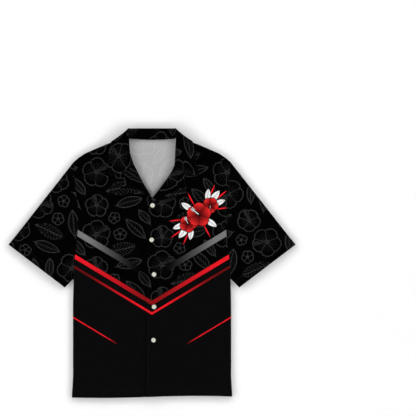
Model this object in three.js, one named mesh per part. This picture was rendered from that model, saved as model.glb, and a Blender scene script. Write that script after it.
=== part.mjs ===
// A short-sleeved camp-collar shirt, buttoned and laid face up on a flat surface.
// Millimetres, +Z up, +Y towards the collar, +X towards the wearer's left.
// Heights are measured up from the hem and distances out from the centre front.

import * as THREE from "three";

const { clamp, lerp, smoothstep, degToRad } = THREE.MathUtils;

// Cloth thicknesses and clearances
const CLOTH = 1.2;
const COLLAR_CLOTH = 2;
const LAPEL_CLOTH = 1.6;
const GAP = 0.3;

// Whole shirt
const COLLAR_TOP = 766;
const HEM_WAVE = 3;
const HEM_WAVE_LENGTH = 546;
const HEM_WAVE_START = -11;
const HEM_WAVE_REACH = 120;
const CENTRE_HEIGHT = (COLLAR_TOP - HEM_WAVE) / 2;

// Body: the side edge, from the hem to the underarm
const SIDE_EDGE = [
  { height: 0, half: 228 },
  { height: 57, half: 225.2 },
  { height: 265, half: 225.2 },
  { height: 337.7, half: 223.4 },
];
const UNDERARM_HEIGHT = 337.7;
const SHOULDER_HEIGHT = 669.7;
const ARMHOLE_HALF = 223.7;
const ARMHOLE_BOW = 13;
const ARMHOLE_GAP = 0.45;

// The shoulder seam, from the neck to the armhole
const SHOULDER_SEAM = [
  { half: 72, height: 742 },
  { half: 134, height: 718.8 },
  { half: 175, height: 701.2 },
  { half: 192.4, height: 693.3 },
  { half: 209.5, height: 681.8 },
  { half: 223.7, height: 669.7 },
];

// Sleeve: the ends of its hem
const SLEEVE_HEM_INNER = new THREE.Vector2(249.4, 312.6);
const SLEEVE_HEM_OUTER = new THREE.Vector2(408.8, 433.9);
const SLEEVE_SECTIONS = 9;
const SLEEVE_STEPS = [0.015, 0.06, 0.14, 0.25, 0.375, 0.5, 0.625, 0.75, 0.86, 0.94, 0.985];

// Neck: the back neck seam dips between its corners
const BACK_NECK_HEIGHT = 733;
const BACK_NECK_RISE = 3.3;
const BACK_NECK_HALF = 64;
const NECK_SEAM_END = 72;

// Where the lapels and the collar roll over: distance from the centre on the wearer's left and right
const ROLL_LINE = [
  { height: 546, left: -22, right: -14.2 },
  { height: 553, left: -14.2, right: -9.5 },
  { height: 567, left: 2, right: -1.4 },
  { height: 580, left: 12, right: 7.5 },
  { height: 600, left: 27, right: 19.5 },
  { height: 625, left: 45, right: 33 },
  { height: 647, left: 59, right: 44 },
  { height: 662, left: 64.8, right: 51.5 },
  { height: 683, left: 66, right: 61 },
  { height: 707, left: 67.5, right: 64 },
  { height: 737, left: 69, right: 66 },
  { height: 765, left: 68, right: 67 },
];
const ROLL_INSET = 4;

// Fronts: how far each laps past the centre, and the step the upper one takes over the lower one
const PLACKET_LAP = 14.2;
const LAP_STEP = CLOTH + GAP + 0.3;
const LAP_STEP_START = 16;
const LAP_STEP_END = 36;

// Heights of the sections across the body, up to the foot of the shoulder slope
const BODY_HEIGHTS = [
  0, 20, 57, 100, 143, 186, 228, 265, 302, 337.7, 372, 406, 440, 472, 504, 530, 546,
  553, 567, 571, 575, 586, 600, 625, 647, 662, 668,
];
const SLOPE_FOOT = 668;
const SLOPE_SHARES = [0.25, 0.5, 0.75, 1];
const BACK_COLUMNS = [0, 18, 36, 52, BACK_NECK_HALF, NECK_SEAM_END, 95, 118, 142, 166, 188, 207, 223.4];
const FRONT_SHARES = [0, 0.06, 0.125, 0.2, 0.3, 0.41, 0.52, 0.63, 0.74, 0.84, 0.93, 1];

// Air under the upper layer, which builds up with the distance from the folded and sewn edges
const LOFT = 3.3;
const LOFT_REACH = 42;

// The back lies over the collar's fall behind the neck
const NECK_LIFT = COLLAR_CLOTH + 2 * GAP;
const LIFT_FOOT = 640;
const LIFT_HEAD = 704;
const LIFT_HALF = 122;
const LIFT_HALF_END = 185;

// Largest folds of the upper layer: centre, length, half-width, turn from +X in degrees, and rise
const FOLDS = [
  { across: 168, height: 372, length: 190, width: 17, turn: 128, rise: 1.5 },
  { across: -176, height: 356, length: 210, width: 15, turn: 57, rise: 1.4 },
  { across: 108, height: 250, length: 260, width: 24, turn: 97, rise: 1.1 },
  { across: -96, height: 190, length: 230, width: 22, turn: 84, rise: 1.2 },
  { across: -150, height: 96, length: 170, width: 18, turn: 88, rise: 1.1 },
  { across: 160, height: 88, length: 150, width: 20, turn: 93, rise: 1.2 },
  { across: 132, height: 600, length: 150, width: 14, turn: 38, rise: 1.1 },
  { across: -128, height: 588, length: 140, width: 15, turn: 141, rise: 1.1 },
  { across: 296, height: 452, length: 170, width: 15, turn: 52, rise: 1.3 },
  { across: -300, height: 470, length: 150, width: 16, turn: 126, rise: 1.3 },
];

// Collar, one row per section from the centre back to the end of the leaf. The seam is where it joins
// the neck, the roll is its fold, and the edge is the free edge of its fall. Over is 0 where the fall
// lies behind the shirt, and 1 where it lies on the front. Hollow bends the section between roll and edge.
const COLLAR_SECTIONS = [
  { seam: [0, 733.4], roll: [0, 765], edge: [0, 716], over: 0, hollow: 0 },
  { seam: [20, 733.8], roll: [20, 765], edge: [27, 716], over: 0, hollow: 0 },
  { seam: [38, 734.6], roll: [38, 765], edge: [54, 716.5], over: 0, hollow: 0 },
  { seam: [54, 736], roll: [53, 765], edge: [82, 718], over: 0, hollow: 0 },
  { seam: [65, 740], roll: [63, 765], edge: [112.5, 727.6], over: 0, hollow: 0.6 },
  { seam: [71.5, 748.5], roll: [67.5, 765], edge: [114, 728.6], over: 0.5, hollow: 1 },
  { seam: [79.5, 743.5], roll: [69, 758], edge: [116.5, 726.2], over: 1, hollow: 0.8 },
  { seam: [82.5, 736], roll: [69, 742], edge: [119.5, 718], over: 1, hollow: 0 },
  { seam: [82, 720], roll: [68, 724], edge: [122.5, 700], over: 1, hollow: 0 },
  { seam: [80, 704], roll: [67.4, 706], edge: [125.5, 680], over: 1, hollow: 0 },
  { seam: [77.5, 691], roll: [66, 692], edge: [128, 655], over: 1, hollow: 0 },
];
const FALL_SHARES = [0.2, 0.42, 0.64, 0.84, 1];
const CURL = 2.4;
const STAND_RISE = 2.5;
const ROLL_HEIGHT = 5;
const COLLAR_END_STAND = 9;

// Points of the leaf, the notch and the lapel on each side
const COLLAR_FRONTS = {
  left: { gorge: 662, notch: [91, 640], leafTip: [136, 626], lapelTip: [100, 583], lapelFoot: 553 },
  right: { gorge: 668, notch: [74, 643], leafTip: [125, 627], lapelTip: [89, 590], lapelFoot: 575 },
};
const COLLAR_SEAM_TOP = [82.5, 741];
const GORGE_GAP = 0.9;
const LAPEL_ROLL_SHARES = [0, 0.14, 0.28, 0.42, 0.56, 0.7, 0.85, 1];
const LAPEL_TIP_SHARE = 0.56;
const LAPEL_FOOT_WIDTH = 9;
const LAPEL_BELLY = 5;
const LAPEL_ACROSS = [0.25, 0.5, 0.75, 1];
const LAPEL_ROLL_LOW = 2.8;
const LAPEL_ROLL_HIGH = 4.6;

// Buttons down the centre front, from the top
const BUTTONS = [
  { aside: 1.7, height: 546 },
  { aside: -0.9, height: 448 },
  { aside: 6, height: 349.4 },
  { aside: 6, height: 257 },
  { aside: 4.3, height: 162.2 },
];
const BUTTON_RADIUS = 6.4;
const BUTTON_THICKNESS = 2.4;
const BUTTON_EDGE = 0.5;
const BUTTON_HOLE_RADIUS = 0.8;
const BUTTON_HOLE_SPACING = 1.5;
const BUTTON_HOLE_SIDES = 8;
const BUTTON_SEAT = GAP;

// Reads one column of a table at a value of another, with straight lines between its rows.
function readTable(rows, by, want, at) {
  let next = 1;
  while (next < rows.length - 1 && rows[next][by] < at) {
    next += 1;
  }
  const low = rows[next - 1];
  const high = rows[next];
  const share = clamp((at - low[by]) / (high[by] - low[by]), 0, 1);
  return lerp(low[want], high[want], share);
}

// Outline

function armholeHalf(height) {
  const share = clamp((height - UNDERARM_HEIGHT) / (SHOULDER_HEIGHT - UNDERARM_HEIGHT), 0, 1);
  return ARMHOLE_HALF - ARMHOLE_BOW * Math.sin(Math.PI * share) ** 2;
}

function sideHalf(height) {
  if (height <= UNDERARM_HEIGHT) {
    return readTable(SIDE_EDGE, "height", "half", height);
  }
  return armholeHalf(height) - ARMHOLE_GAP;
}

function shoulderHeight(half) {
  return readTable(SHOULDER_SEAM, "half", "height", half);
}

function backTop(half) {
  const neck = BACK_NECK_HEIGHT + BACK_NECK_RISE * (half / BACK_NECK_HALF) ** 2;
  const share = clamp((half - BACK_NECK_HALF) / (NECK_SEAM_END - BACK_NECK_HALF), 0, 1);
  return half < NECK_SEAM_END ? lerp(neck, shoulderHeight(NECK_SEAM_END), share) : shoulderHeight(half);
}

function rollHalf(side, height) {
  return readTable(ROLL_LINE, "height", side, height);
}

// The seam of the collar to a front, from the end of its stand to the shoulder.
function collarSeamHalf(side, height) {
  const { gorge } = COLLAR_FRONTS[side];
  const share = (height - gorge) / (COLLAR_SEAM_TOP[1] - gorge);
  return lerp(rollHalf(side, gorge) + COLLAR_END_STAND, COLLAR_SEAM_TOP[0], clamp(share, 0, 1));
}

// The inner edge of a front: the button edge, then the lapel's roll, then the collar seam.
function frontInner(side, height) {
  const { gorge, lapelFoot } = COLLAR_FRONTS[side];
  if (height < lapelFoot) {
    return Math.max(-PLACKET_LAP, rollHalf(side, height));
  }
  if (height < gorge) {
    return rollHalf(side, height) + ROLL_INSET;
  }
  return collarSeamHalf(side, height) + 2 * GAP;
}

function hemShift(x, height) {
  const wave = Math.sin((2 * Math.PI * (x - HEM_WAVE_START)) / HEM_WAVE_LENGTH);
  return HEM_WAVE * wave * Math.max(0, 1 - height / HEM_WAVE_REACH);
}

// Heights of the cloth above the surface

const CLOSED_EDGES = [
  [[228, -60], [225.2, 57], [225.2, 265], [ARMHOLE_HALF, UNDERARM_HEIGHT], SLEEVE_HEM_INNER.toArray()],
  [SLEEVE_HEM_OUTER.toArray(), ...SHOULDER_SEAM.map((row) => [row.half, row.height]).reverse()],
];

function edgeDistance(x, height) {
  const point = new THREE.Vector3(Math.abs(x), height, 0);
  const nearest = new THREE.Vector3();
  let distance = Infinity;
  for (const edge of CLOSED_EDGES) {
    for (let i = 1; i < edge.length; i += 1) {
      const line = new THREE.Line3(new THREE.Vector3(...edge[i - 1], 0), new THREE.Vector3(...edge[i], 0));
      line.closestPointToPoint(point, true, nearest);
      distance = Math.min(distance, nearest.distanceTo(point));
    }
  }
  return distance;
}

function foldRise(x, height) {
  let rise = 0;
  for (const fold of FOLDS) {
    const turn = degToRad(fold.turn);
    const dx = x - fold.across;
    const dy = height - fold.height;
    const along = dx * Math.cos(turn) + dy * Math.sin(turn);
    const aside = -dx * Math.sin(turn) + dy * Math.cos(turn);
    rise += fold.rise * Math.exp(-((aside / fold.width) ** 2) - (along / (0.5 * fold.length)) ** 2);
  }
  return rise;
}

function backLevel(x, height) {
  const up = smoothstep(height, LIFT_FOOT, LIFT_HEAD);
  const inside = 1 - smoothstep(Math.abs(x), LIFT_HALF, LIFT_HALF_END);
  return CLOTH / 2 + NECK_LIFT * up * inside;
}

function frontLevel(x, height) {
  const open = 1 - Math.exp(-edgeDistance(x, height) / LOFT_REACH);
  return backLevel(x, height) + CLOTH + GAP + (LOFT + foldRise(x, height)) * open;
}

function leftFrontLevel(x, height) {
  return frontLevel(x, height) + LAP_STEP * (1 - smoothstep(x, LAP_STEP_START, LAP_STEP_END));
}

function levelOfFront(side, x, height) {
  return side === "left" ? leftFrontLevel(x, height) : frontLevel(x, height);
}

// Walls of cloth

function meshOf(points, faces) {
  const corner = (i) => points[faces[i]];
  let volume = 0;
  for (let i = 0; i < faces.length; i += 3) {
    volume += corner(i).dot(corner(i + 1).clone().cross(corner(i + 2)));
  }
  const outward = volume > 0 ? faces : faces.slice().reverse();
  const geometry = new THREE.BufferGeometry().setFromPoints(points);
  geometry.setIndex(outward);
  geometry.computeVertexNormals();
  return geometry;
}

// Closes the space between two grids of points, given row by row. A tube's columns run all round.
function wallBetween(outer, inner, isTube = false) {
  const rows = outer.length;
  const columns = outer[0].length;
  const at = (grid, row, column) => (grid * rows + row) * columns + (column % columns);
  const faces = [];
  const quad = (a, b, c, d) => faces.push(a, b, c, a, c, d);
  const lastRow = rows - 1;
  const lastColumn = columns - 1;
  const steps = isTube ? columns : lastColumn;
  for (let c = 0; c < steps; c += 1) {
    for (let r = 0; r < lastRow; r += 1) {
      quad(at(0, r, c), at(0, r, c + 1), at(0, r + 1, c + 1), at(0, r + 1, c));
      quad(at(1, r, c), at(1, r + 1, c), at(1, r + 1, c + 1), at(1, r, c + 1));
    }
    quad(at(0, 0, c), at(1, 0, c), at(1, 0, c + 1), at(0, 0, c + 1));
    quad(at(0, lastRow, c), at(0, lastRow, c + 1), at(1, lastRow, c + 1), at(1, lastRow, c));
  }
  for (let r = 0; r < lastRow && !isTube; r += 1) {
    quad(at(0, r, 0), at(0, r + 1, 0), at(1, r + 1, 0), at(1, r, 0));
    quad(at(0, r, lastColumn), at(1, r, lastColumn), at(1, r + 1, lastColumn), at(0, r + 1, lastColumn));
  }
  return meshOf([...outer.flat(), ...inner.flat()], faces);
}

// A panel that lies flat: its middle grid moved up and down by half the cloth.
function flatWall(middle, thickness) {
  const moved = (by) => middle.map((row) => row.map((p) => new THREE.Vector3(p.x, p.y, p.z + by)));
  return wallBetween(moved(thickness / 2), moved(-thickness / 2));
}

// A rolled piece: its middle grid moved both ways along the normal of the sheet.
function rolledWall(middle, thickness) {
  const normals = middle.map((row, r) =>
    row.map((_, c) => {
      const above = middle[Math.min(r + 1, middle.length - 1)][c];
      const below = middle[Math.max(r - 1, 0)][c];
      const after = row[Math.min(c + 1, row.length - 1)];
      const before = row[Math.max(c - 1, 0)];
      const along = above.clone().sub(below);
      return along.cross(after.clone().sub(before)).normalize();
    }),
  );
  const moved = (by) =>
    middle.map((row, r) => row.map((p, c) => p.clone().addScaledVector(normals[r][c], by)));
  return wallBetween(moved(thickness / 2), moved(-thickness / 2));
}

function place(x, height, z) {
  return new THREE.Vector3(x, height - CENTRE_HEIGHT, z);
}

// Body panels

function backPanel() {
  const columns = [...BACK_COLUMNS.slice(1).reverse().map((half) => -half), ...BACK_COLUMNS];
  const widest = BACK_COLUMNS.at(-1);
  const row = (atColumn) => columns.map(atColumn);
  const lower = BODY_HEIGHTS.map((height) =>
    row((column) => {
      const x = (column / widest) * sideHalf(height);
      return place(x, height + hemShift(x, height), backLevel(x, height));
    }),
  );
  const upper = SLOPE_SHARES.map((share) =>
    row((x) => {
      const height = lerp(SLOPE_FOOT, backTop(Math.abs(x)), share);
      return place(x, height, backLevel(x, height));
    }),
  );
  return flatWall([...lower, ...upper], CLOTH);
}

function frontPanel(side) {
  const sign = side === "left" ? 1 : -1;
  const neckHalf = frontInner(side, COLLAR_TOP);
  const neckHeight = shoulderHeight(neckHalf);
  const lower = BODY_HEIGHTS.map((height) =>
    FRONT_SHARES.map((share) => {
      const x = sign * lerp(frontInner(side, height), sideHalf(height), share);
      return place(x, height + hemShift(x, height), levelOfFront(side, x, height));
    }),
  );
  const upper = SLOPE_SHARES.map((slope) =>
    FRONT_SHARES.map((share) => {
      const inner = frontInner(side, lerp(SLOPE_FOOT, neckHeight, slope));
      const half = lerp(inner, sideHalf(SLOPE_FOOT), share);
      const topHalf = lerp(neckHalf, sideHalf(SLOPE_FOOT), share);
      const height = lerp(SLOPE_FOOT, shoulderHeight(topHalf), slope);
      return place(sign * half, height, levelOfFront(side, sign * half, height));
    }),
  );
  return flatWall([...lower, ...upper], CLOTH);
}

// Sleeve: rings from the armhole to the hem. Each ring runs up the top layer and back along the bottom.

function sleevePoint(along, across) {
  const armhole = lerp(UNDERARM_HEIGHT, SHOULDER_HEIGHT, across);
  const hem = SLEEVE_HEM_INNER.clone().lerp(SLEEVE_HEM_OUTER, across);
  const start = new THREE.Vector2(armholeHalf(armhole), armhole);
  return start.lerp(hem, along);
}

function sleeveRing(sign, along, inset) {
  const width = sleevePoint(along, 0).distanceTo(sleevePoint(along, 1));
  const trim = inset / width;
  const edge = (across) => {
    const point = sleevePoint(along, across);
    return place(sign * point.x, point.y, CLOTH + GAP / 2);
  };
  const layer = (across, isTop) => {
    const point = sleevePoint(along, across);
    const level = frontLevel(point.x * sign, point.y) + CLOTH / 2 - inset;
    return place(sign * point.x, point.y, isTop ? level : inset);
  };
  const top = SLEEVE_STEPS.map((across) => layer(across, true));
  const bottom = SLEEVE_STEPS.slice().reverse().map((across) => layer(across, false));
  return [edge(trim), ...top, edge(1 - trim), ...bottom];
}

function sleeve(side) {
  const sign = side === "left" ? 1 : -1;
  const shares = Array.from({ length: SLEEVE_SECTIONS }, (_, i) => i / (SLEEVE_SECTIONS - 1));
  const outer = shares.map((along) => sleeveRing(sign, along, 0));
  const inner = shares.map((along) => sleeveRing(sign, along, CLOTH));
  return wallBetween(outer, inner, true);
}

// Collar

function between(from, to, share) {
  return from.clone().lerp(to, share);
}

function towards(from, to, distance) {
  return from.clone().add(to.clone().sub(from).setLength(distance));
}

function restLevel(side, sign, point) {
  const level = levelOfFront(side, sign * point.x, point.y);
  return level + CLOTH / 2 + 2 * GAP + COLLAR_CLOTH / 2;
}

// One section of the collar, from its neck seam over the roll to the edge of its fall.
function collarSection(side, row, fallPoints) {
  const sign = side === "left" ? 1 : -1;
  const seam = new THREE.Vector2(...row.seam);
  const roll = new THREE.Vector2(...row.roll);
  const behind = COLLAR_CLOTH / 2;
  const onBack = backLevel(seam.x, seam.y);
  const onFront = levelOfFront(side, sign * seam.x, seam.y) + GAP;
  const seamLevel = lerp(onBack, onFront, row.over);
  const standLevel = seamLevel + STAND_RISE * (1 - row.over);
  const rollLevel = lerp(behind + 0.5, levelOfFront(side, sign * roll.x, roll.y) + ROLL_HEIGHT, row.over);
  const standSide = towards(roll, seam, CURL);
  const fallSide = towards(roll, fallPoints[0], CURL);
  const at = (point, level) => place(sign * point.x, point.y, level);
  const fall = fallPoints.map((point, i) => {
    const share = (1 - FALL_SHARES[i]) ** 2;
    const leafLevel = lerp(restLevel(side, sign, point), rollLevel, share);
    return at(point, lerp(behind, leafLevel, row.over));
  });
  return [
    at(seam, seamLevel),
    at(between(seam, roll, 0.5), standLevel),
    at(standSide, standLevel + 0.2 * row.over),
    at(roll, (standLevel + rollLevel) / 2),
    at(fallSide, rollLevel),
    ...fall,
  ];
}

function fallLine(row) {
  const roll = new THREE.Vector2(...row.roll);
  const edge = new THREE.Vector2(...row.edge);
  return FALL_SHARES.map((share) => {
    const point = between(roll, edge, share);
    const hollow = row.hollow * Math.sin(Math.PI * share);
    return point.sub(new THREE.Vector2(hollow, hollow));
  });
}

// The end of the leaf: along the gorge to the notch, then along the leaf's short edge to its tip.
function leafEnd(side) {
  const { gorge, notch, leafTip } = COLLAR_FRONTS[side];
  const rollX = rollHalf(side, gorge);
  const roll = new THREE.Vector2(rollX, gorge + GORGE_GAP);
  const corner = new THREE.Vector2(notch[0], notch[1] + GORGE_GAP);
  const tip = new THREE.Vector2(...leafTip);
  const points = [
    between(roll, corner, 0.5),
    corner,
    between(corner, tip, 0.35),
    between(corner, tip, 0.7),
    tip,
  ];
  const seam = [collarSeamHalf(side, gorge + GORGE_GAP), gorge + GORGE_GAP];
  return collarSection(side, { seam, roll: roll.toArray(), over: 1 }, points);
}

function collarHalf(side) {
  const sections = COLLAR_SECTIONS.map((row) => {
    const [, seamHeight] = row.seam;
    const [, rollHeight] = row.roll;
    const seam = [collarSeamHalf(side, seamHeight), seamHeight];
    const roll = [rollHalf(side, rollHeight), rollHeight];
    const section = row.over === 1 ? { ...row, seam, roll } : row;
    return collarSection(side, section, fallLine(section));
  });
  return [...sections, leafEnd(side)];
}

function collar() {
  const right = collarHalf("right").reverse();
  const left = collarHalf("left").slice(1);
  return rolledWall([...right, ...left], COLLAR_CLOTH);
}

// Lapels

function lapelOuter(side, share, foot) {
  const { notch, lapelTip } = COLLAR_FRONTS[side];
  const tip = new THREE.Vector2(...lapelTip);
  if (share > LAPEL_TIP_SHARE) {
    const upper = (share - LAPEL_TIP_SHARE) / (1 - LAPEL_TIP_SHARE);
    return between(tip, new THREE.Vector2(notch[0], notch[1] - GORGE_GAP), upper);
  }
  const lower = share / LAPEL_TIP_SHARE;
  const point = between(foot, tip, lower);
  point.y -= LAPEL_BELLY * Math.sin(Math.PI * lower);
  return point;
}

function lapel(side) {
  const sign = side === "left" ? 1 : -1;
  const { gorge, lapelFoot } = COLLAR_FRONTS[side];
  const footRoll = new THREE.Vector2(rollHalf(side, lapelFoot), lapelFoot);
  const foot = footRoll.clone().add(new THREE.Vector2(LAPEL_FOOT_WIDTH, LAPEL_FOOT_WIDTH / 2));
  const sections = LAPEL_ROLL_SHARES.map((share) => {
    const height = lerp(lapelFoot, gorge - GORGE_GAP, share);
    const roll = new THREE.Vector2(rollHalf(side, height), height);
    const outer = lapelOuter(side, share, foot);
    const level = levelOfFront(side, sign * roll.x, roll.y);
    const high = level + lerp(LAPEL_ROLL_LOW, LAPEL_ROLL_HIGH, Math.min(1, 2 * share));
    const at = (point, z) => place(sign * point.x, point.y, z);
    const clear = (CLOTH + LAPEL_CLOTH) / 2 + 2 * GAP;
    const rest = (point) => levelOfFront(side, sign * point.x, point.y) + clear;
    const top = LAPEL_ACROSS.map((across) => {
      const point = between(roll, outer, across);
      return at(point, lerp(rest(point), high, (1 - across) ** 2));
    });
    const tail = new THREE.Vector2(roll.x + ROLL_INSET - 2 * GAP, roll.y);
    const curl = new THREE.Vector2(roll.x + 1, roll.y);
    return [at(tail, level), at(curl, level + 0.3), at(roll, (level + high) / 2), at(curl, high), ...top];
  });
  return rolledWall(sections, LAPEL_CLOTH);
}

// Buttons: round, with four thread holes and an eased edge

function buttonShape() {
  const shape = new THREE.Shape();
  shape.absarc(0, 0, BUTTON_RADIUS - BUTTON_EDGE, 0, 2 * Math.PI);
  for (let i = 0; i < 4; i += 1) {
    const turn = Math.PI / 4 + (i * Math.PI) / 2;
    const centre = new THREE.Vector2(Math.cos(turn), Math.sin(turn)).multiplyScalar(BUTTON_HOLE_SPACING);
    const rim = Array.from({ length: BUTTON_HOLE_SIDES }, (_, side) => {
      const angle = (-2 * Math.PI * side) / BUTTON_HOLE_SIDES;
      const spoke = new THREE.Vector2(Math.cos(angle), Math.sin(angle));
      return spoke.multiplyScalar(BUTTON_HOLE_RADIUS).add(centre);
    });
    shape.holes.push(new THREE.Path(rim));
  }
  return shape;
}

function button() {
  const geometry = new THREE.ExtrudeGeometry(buttonShape(), {
    depth: BUTTON_THICKNESS - 2 * BUTTON_EDGE,
    curveSegments: 12,
    bevelThickness: BUTTON_EDGE,
    bevelSize: BUTTON_EDGE,
    bevelSegments: 1,
  });
  return geometry.translate(0, 0, BUTTON_EDGE);
}

// Colours

const clothMaterial = () => new THREE.MeshStandardMaterial({ color: 0x0c0c0c, roughness: 0.75 });
const buttonMaterial = () => new THREE.MeshStandardMaterial({ color: 0xf0eedd, roughness: 0.35 });

// Assembly

const group = new THREE.Group();

function add(name, geometry, material) {
  const mesh = new THREE.Mesh(geometry, material);
  mesh.name = name;
  group.add(mesh);
  return mesh;
}

add("back", backPanel(), clothMaterial());
add("front_left", frontPanel("left"), clothMaterial());
add("front_right", frontPanel("right"), clothMaterial());
add("sleeve_left", sleeve("left"), clothMaterial());
add("sleeve_right", sleeve("right"), clothMaterial());
add("collar", collar(), clothMaterial());
add("lapel_left", lapel("left"), clothMaterial());
add("lapel_right", lapel("right"), clothMaterial());

BUTTONS.forEach(({ aside, height }, i) => {
  const level = leftFrontLevel(aside, height) + CLOTH / 2 + BUTTON_SEAT;
  add(`button_${i + 1}`, button(), buttonMaterial()).position.copy(place(aside, height, level));
});

export default group;
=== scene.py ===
"""A short-sleeved camp-collar shirt, buttoned and laid face up on a plain floor.

Metres, +Z up, +Y towards the collar, +X towards the wearer's left. The tables are in millimetres: heights
are measured up from the hem and distances out from the centre front, as in the CAD part.
"""

import math

import bpy
import numpy as np
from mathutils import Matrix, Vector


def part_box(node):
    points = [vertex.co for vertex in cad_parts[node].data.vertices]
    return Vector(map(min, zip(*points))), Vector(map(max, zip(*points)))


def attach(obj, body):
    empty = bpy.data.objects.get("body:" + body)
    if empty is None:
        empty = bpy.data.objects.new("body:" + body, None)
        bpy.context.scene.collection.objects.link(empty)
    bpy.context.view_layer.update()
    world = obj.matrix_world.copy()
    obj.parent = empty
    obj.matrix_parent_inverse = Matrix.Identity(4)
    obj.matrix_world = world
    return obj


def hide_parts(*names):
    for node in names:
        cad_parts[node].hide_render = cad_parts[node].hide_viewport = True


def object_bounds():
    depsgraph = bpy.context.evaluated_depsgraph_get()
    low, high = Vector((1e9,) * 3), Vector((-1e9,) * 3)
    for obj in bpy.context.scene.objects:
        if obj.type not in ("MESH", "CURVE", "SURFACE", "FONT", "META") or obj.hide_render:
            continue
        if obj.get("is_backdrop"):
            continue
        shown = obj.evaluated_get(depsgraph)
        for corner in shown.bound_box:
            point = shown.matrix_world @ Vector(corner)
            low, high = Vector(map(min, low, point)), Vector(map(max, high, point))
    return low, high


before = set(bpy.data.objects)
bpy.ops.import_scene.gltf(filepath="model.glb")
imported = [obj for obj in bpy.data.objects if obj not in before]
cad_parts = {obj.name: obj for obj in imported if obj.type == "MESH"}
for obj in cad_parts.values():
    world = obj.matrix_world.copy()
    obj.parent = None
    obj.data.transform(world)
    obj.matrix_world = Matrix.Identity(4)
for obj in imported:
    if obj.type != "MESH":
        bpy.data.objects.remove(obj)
cad_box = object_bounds()
scene = bpy.context.scene

MM = 0.001

# Cloth thicknesses: a single layer, a turned hem or placket, the collar and the lapels
SINGLE = 0.8
DOUBLE = 1.5
COLLAR_CLOTH = 1.5
LAPEL_CLOTH = 1.3

# Gaps: between cloths that touch, between the puffed back and the fronts, between the two layers at a
# closed edge, under the back, and between the pieces of the CAD part
TOUCH = 0.06
CLEARANCE = 0.35
LEAST_GAP = 0.1
REST = 0.04
CAD_GAP = 0.3

# The lower hem waves a little, and the wave dies out up the body. The last line is the hems' depth.
HEM_WAVE = 3
HEM_WAVE_LENGTH = 546
HEM_WAVE_START = -11
HEM_WAVE_REACH = 120
HEM_Y = cad_box[0].y / MM + HEM_WAVE
HEM_DEPTH = 20

# The body's side as (height, distance out), and the shoulder seam and other points as (distance, height).
# HEM_FOOT is where the side would run on to below the hem.
HEM_FOOT = (231, -60)
SIDE_EDGE = [(0, 228), (57, 225.2), (265, 225.2), (337.7, 223.4)]
UNDERARM_HEIGHT = 337.7
SHOULDER_HEIGHT = 669.7
ARMHOLE_HALF = 223.7
ARMHOLE_BOW = 13
ARMHOLE_GAP = 0.3
SHOULDER_SEAM = [
    (72, 742), (134, 718.8), (175, 701.2), (192.4, 693.3), (209.5, 681.8), (223.7, 669.7),
]
SLOPE_FOOT = 668

SLEEVE_HEM_INNER = (249.4, 312.6)
SLEEVE_HEM_OUTER = (408.8, 433.9)

# How far the back keeps inside the fronts: at the sides, in its hem and under the shoulder seam
BACK_INSET = 0.5
BACK_HEM_INSET = 1.2
BACK_TOP_INSET = 0.8
# The seam allowance that the back tucks into the sleeves. The spans are distances from the back's edge,
# and the insets keep its fold and its rise away from the underarm and the shoulder.
ALLOWANCE = 3
ALLOWANCE_RISE = 0.95
ALLOWANCE_FADE = 3.5
TUCK_SPAN = (0.3, 2.4)
TUCK_INSET = 5
RISE_SPAN = (1.6, 2.9)
RISE_INSET = 1

BACK_NECK_HEIGHT = 733
BACK_NECK_RISE = 3.3
BACK_NECK_HALF = 64
NECK_SEAM_END = 72

# Heights of the roll of the lapels and collar, and its distance from the centre on each side
ROLL_HEIGHTS = [546, 553, 567, 580, 600, 625, 647, 662, 683, 707, 737, 765]
ROLL_HALVES = {
    "left": [-22, -14.2, 2, 12, 27, 45, 59, 64.8, 66, 67.5, 69, 68],
    "right": [-14.2, -9.5, -1.4, 7.5, 19.5, 33, 44, 51.5, 61, 64, 66, 67],
}
ROLL_INSET = 4
FRONT_SEAM_GAP = 0.6
GORGE_MARGIN = 3.8
PLACKET_LAP = 14.2
PLACKET_WIDTH = 30
LAP_STEP = 1.8
LAP_STEP_SPAN = (16, 36)

# How the upper layer rises from a closed edge and lofts away from it, and what dips or lifts it
EDGE_RISE = 3.5
EDGE_ROUND = 2.6
HEM_DROP = 1.4
LOFT = 1.5
LOFT_REACH = 42
BUTTON_DIP = 0.6
BUTTON_DIP_REACH = 10
SEAM_DIP = (0.55, 1.4)
ARMHOLE_RIDGE = (0.4, 4)
ARMHOLE_RIDGE_PLACE = 6
SLEEVE_EDGE_REACH = 6
NECK_LIFT = 1.7
NECK_LIFT_SPAN = (640, 704)
NECK_LIFT_HALVES = (122, 185)
NECK_PUFF = 4
NECK_PUFF_FOOT = (490, 545)
NECK_PUFF_HEAD = (702, 730)
NECK_PUFF_HALVES = (60, 115)
NECK_PUFF_MIDDLE = 3
V_PUFF = 1.4
V_PUFF_INSET = (0, 9)
V_PUFF_HEAD = (590, 660)

# A line of stitching: the height and reach of its puckers and of its dip, and the puckers' pace and wander
PUCKER = (0.13, 5)
STITCH_DIP = (0.26, 1.3)
PUCKER_PACE = 0.66
PUCKER_WANDER = 37
PLACKET_STITCH = 3
PLACKET_STITCH_SHARE = 0.7
HEM_EDGE_SOFTNESS = 0.8

# Folds of the upper layer: centre, length, half-width, turn from +X in degrees, and rise
FOLDS = [
    (168, 372, 190, 17, 128, 1.5), (-176, 356, 210, 15, 57, 1.4), (108, 250, 260, 24, 97, 1.1),
    (-96, 190, 230, 22, 84, 1.2), (-150, 96, 170, 18, 88, 1.1), (160, 88, 150, 20, 93, 1.2),
    (132, 600, 150, 14, 38, 1.1), (-128, 588, 140, 15, 141, 1.1), (296, 452, 170, 15, 52, 1.3),
    (-300, 470, 150, 16, 126, 1.3),
]
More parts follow.
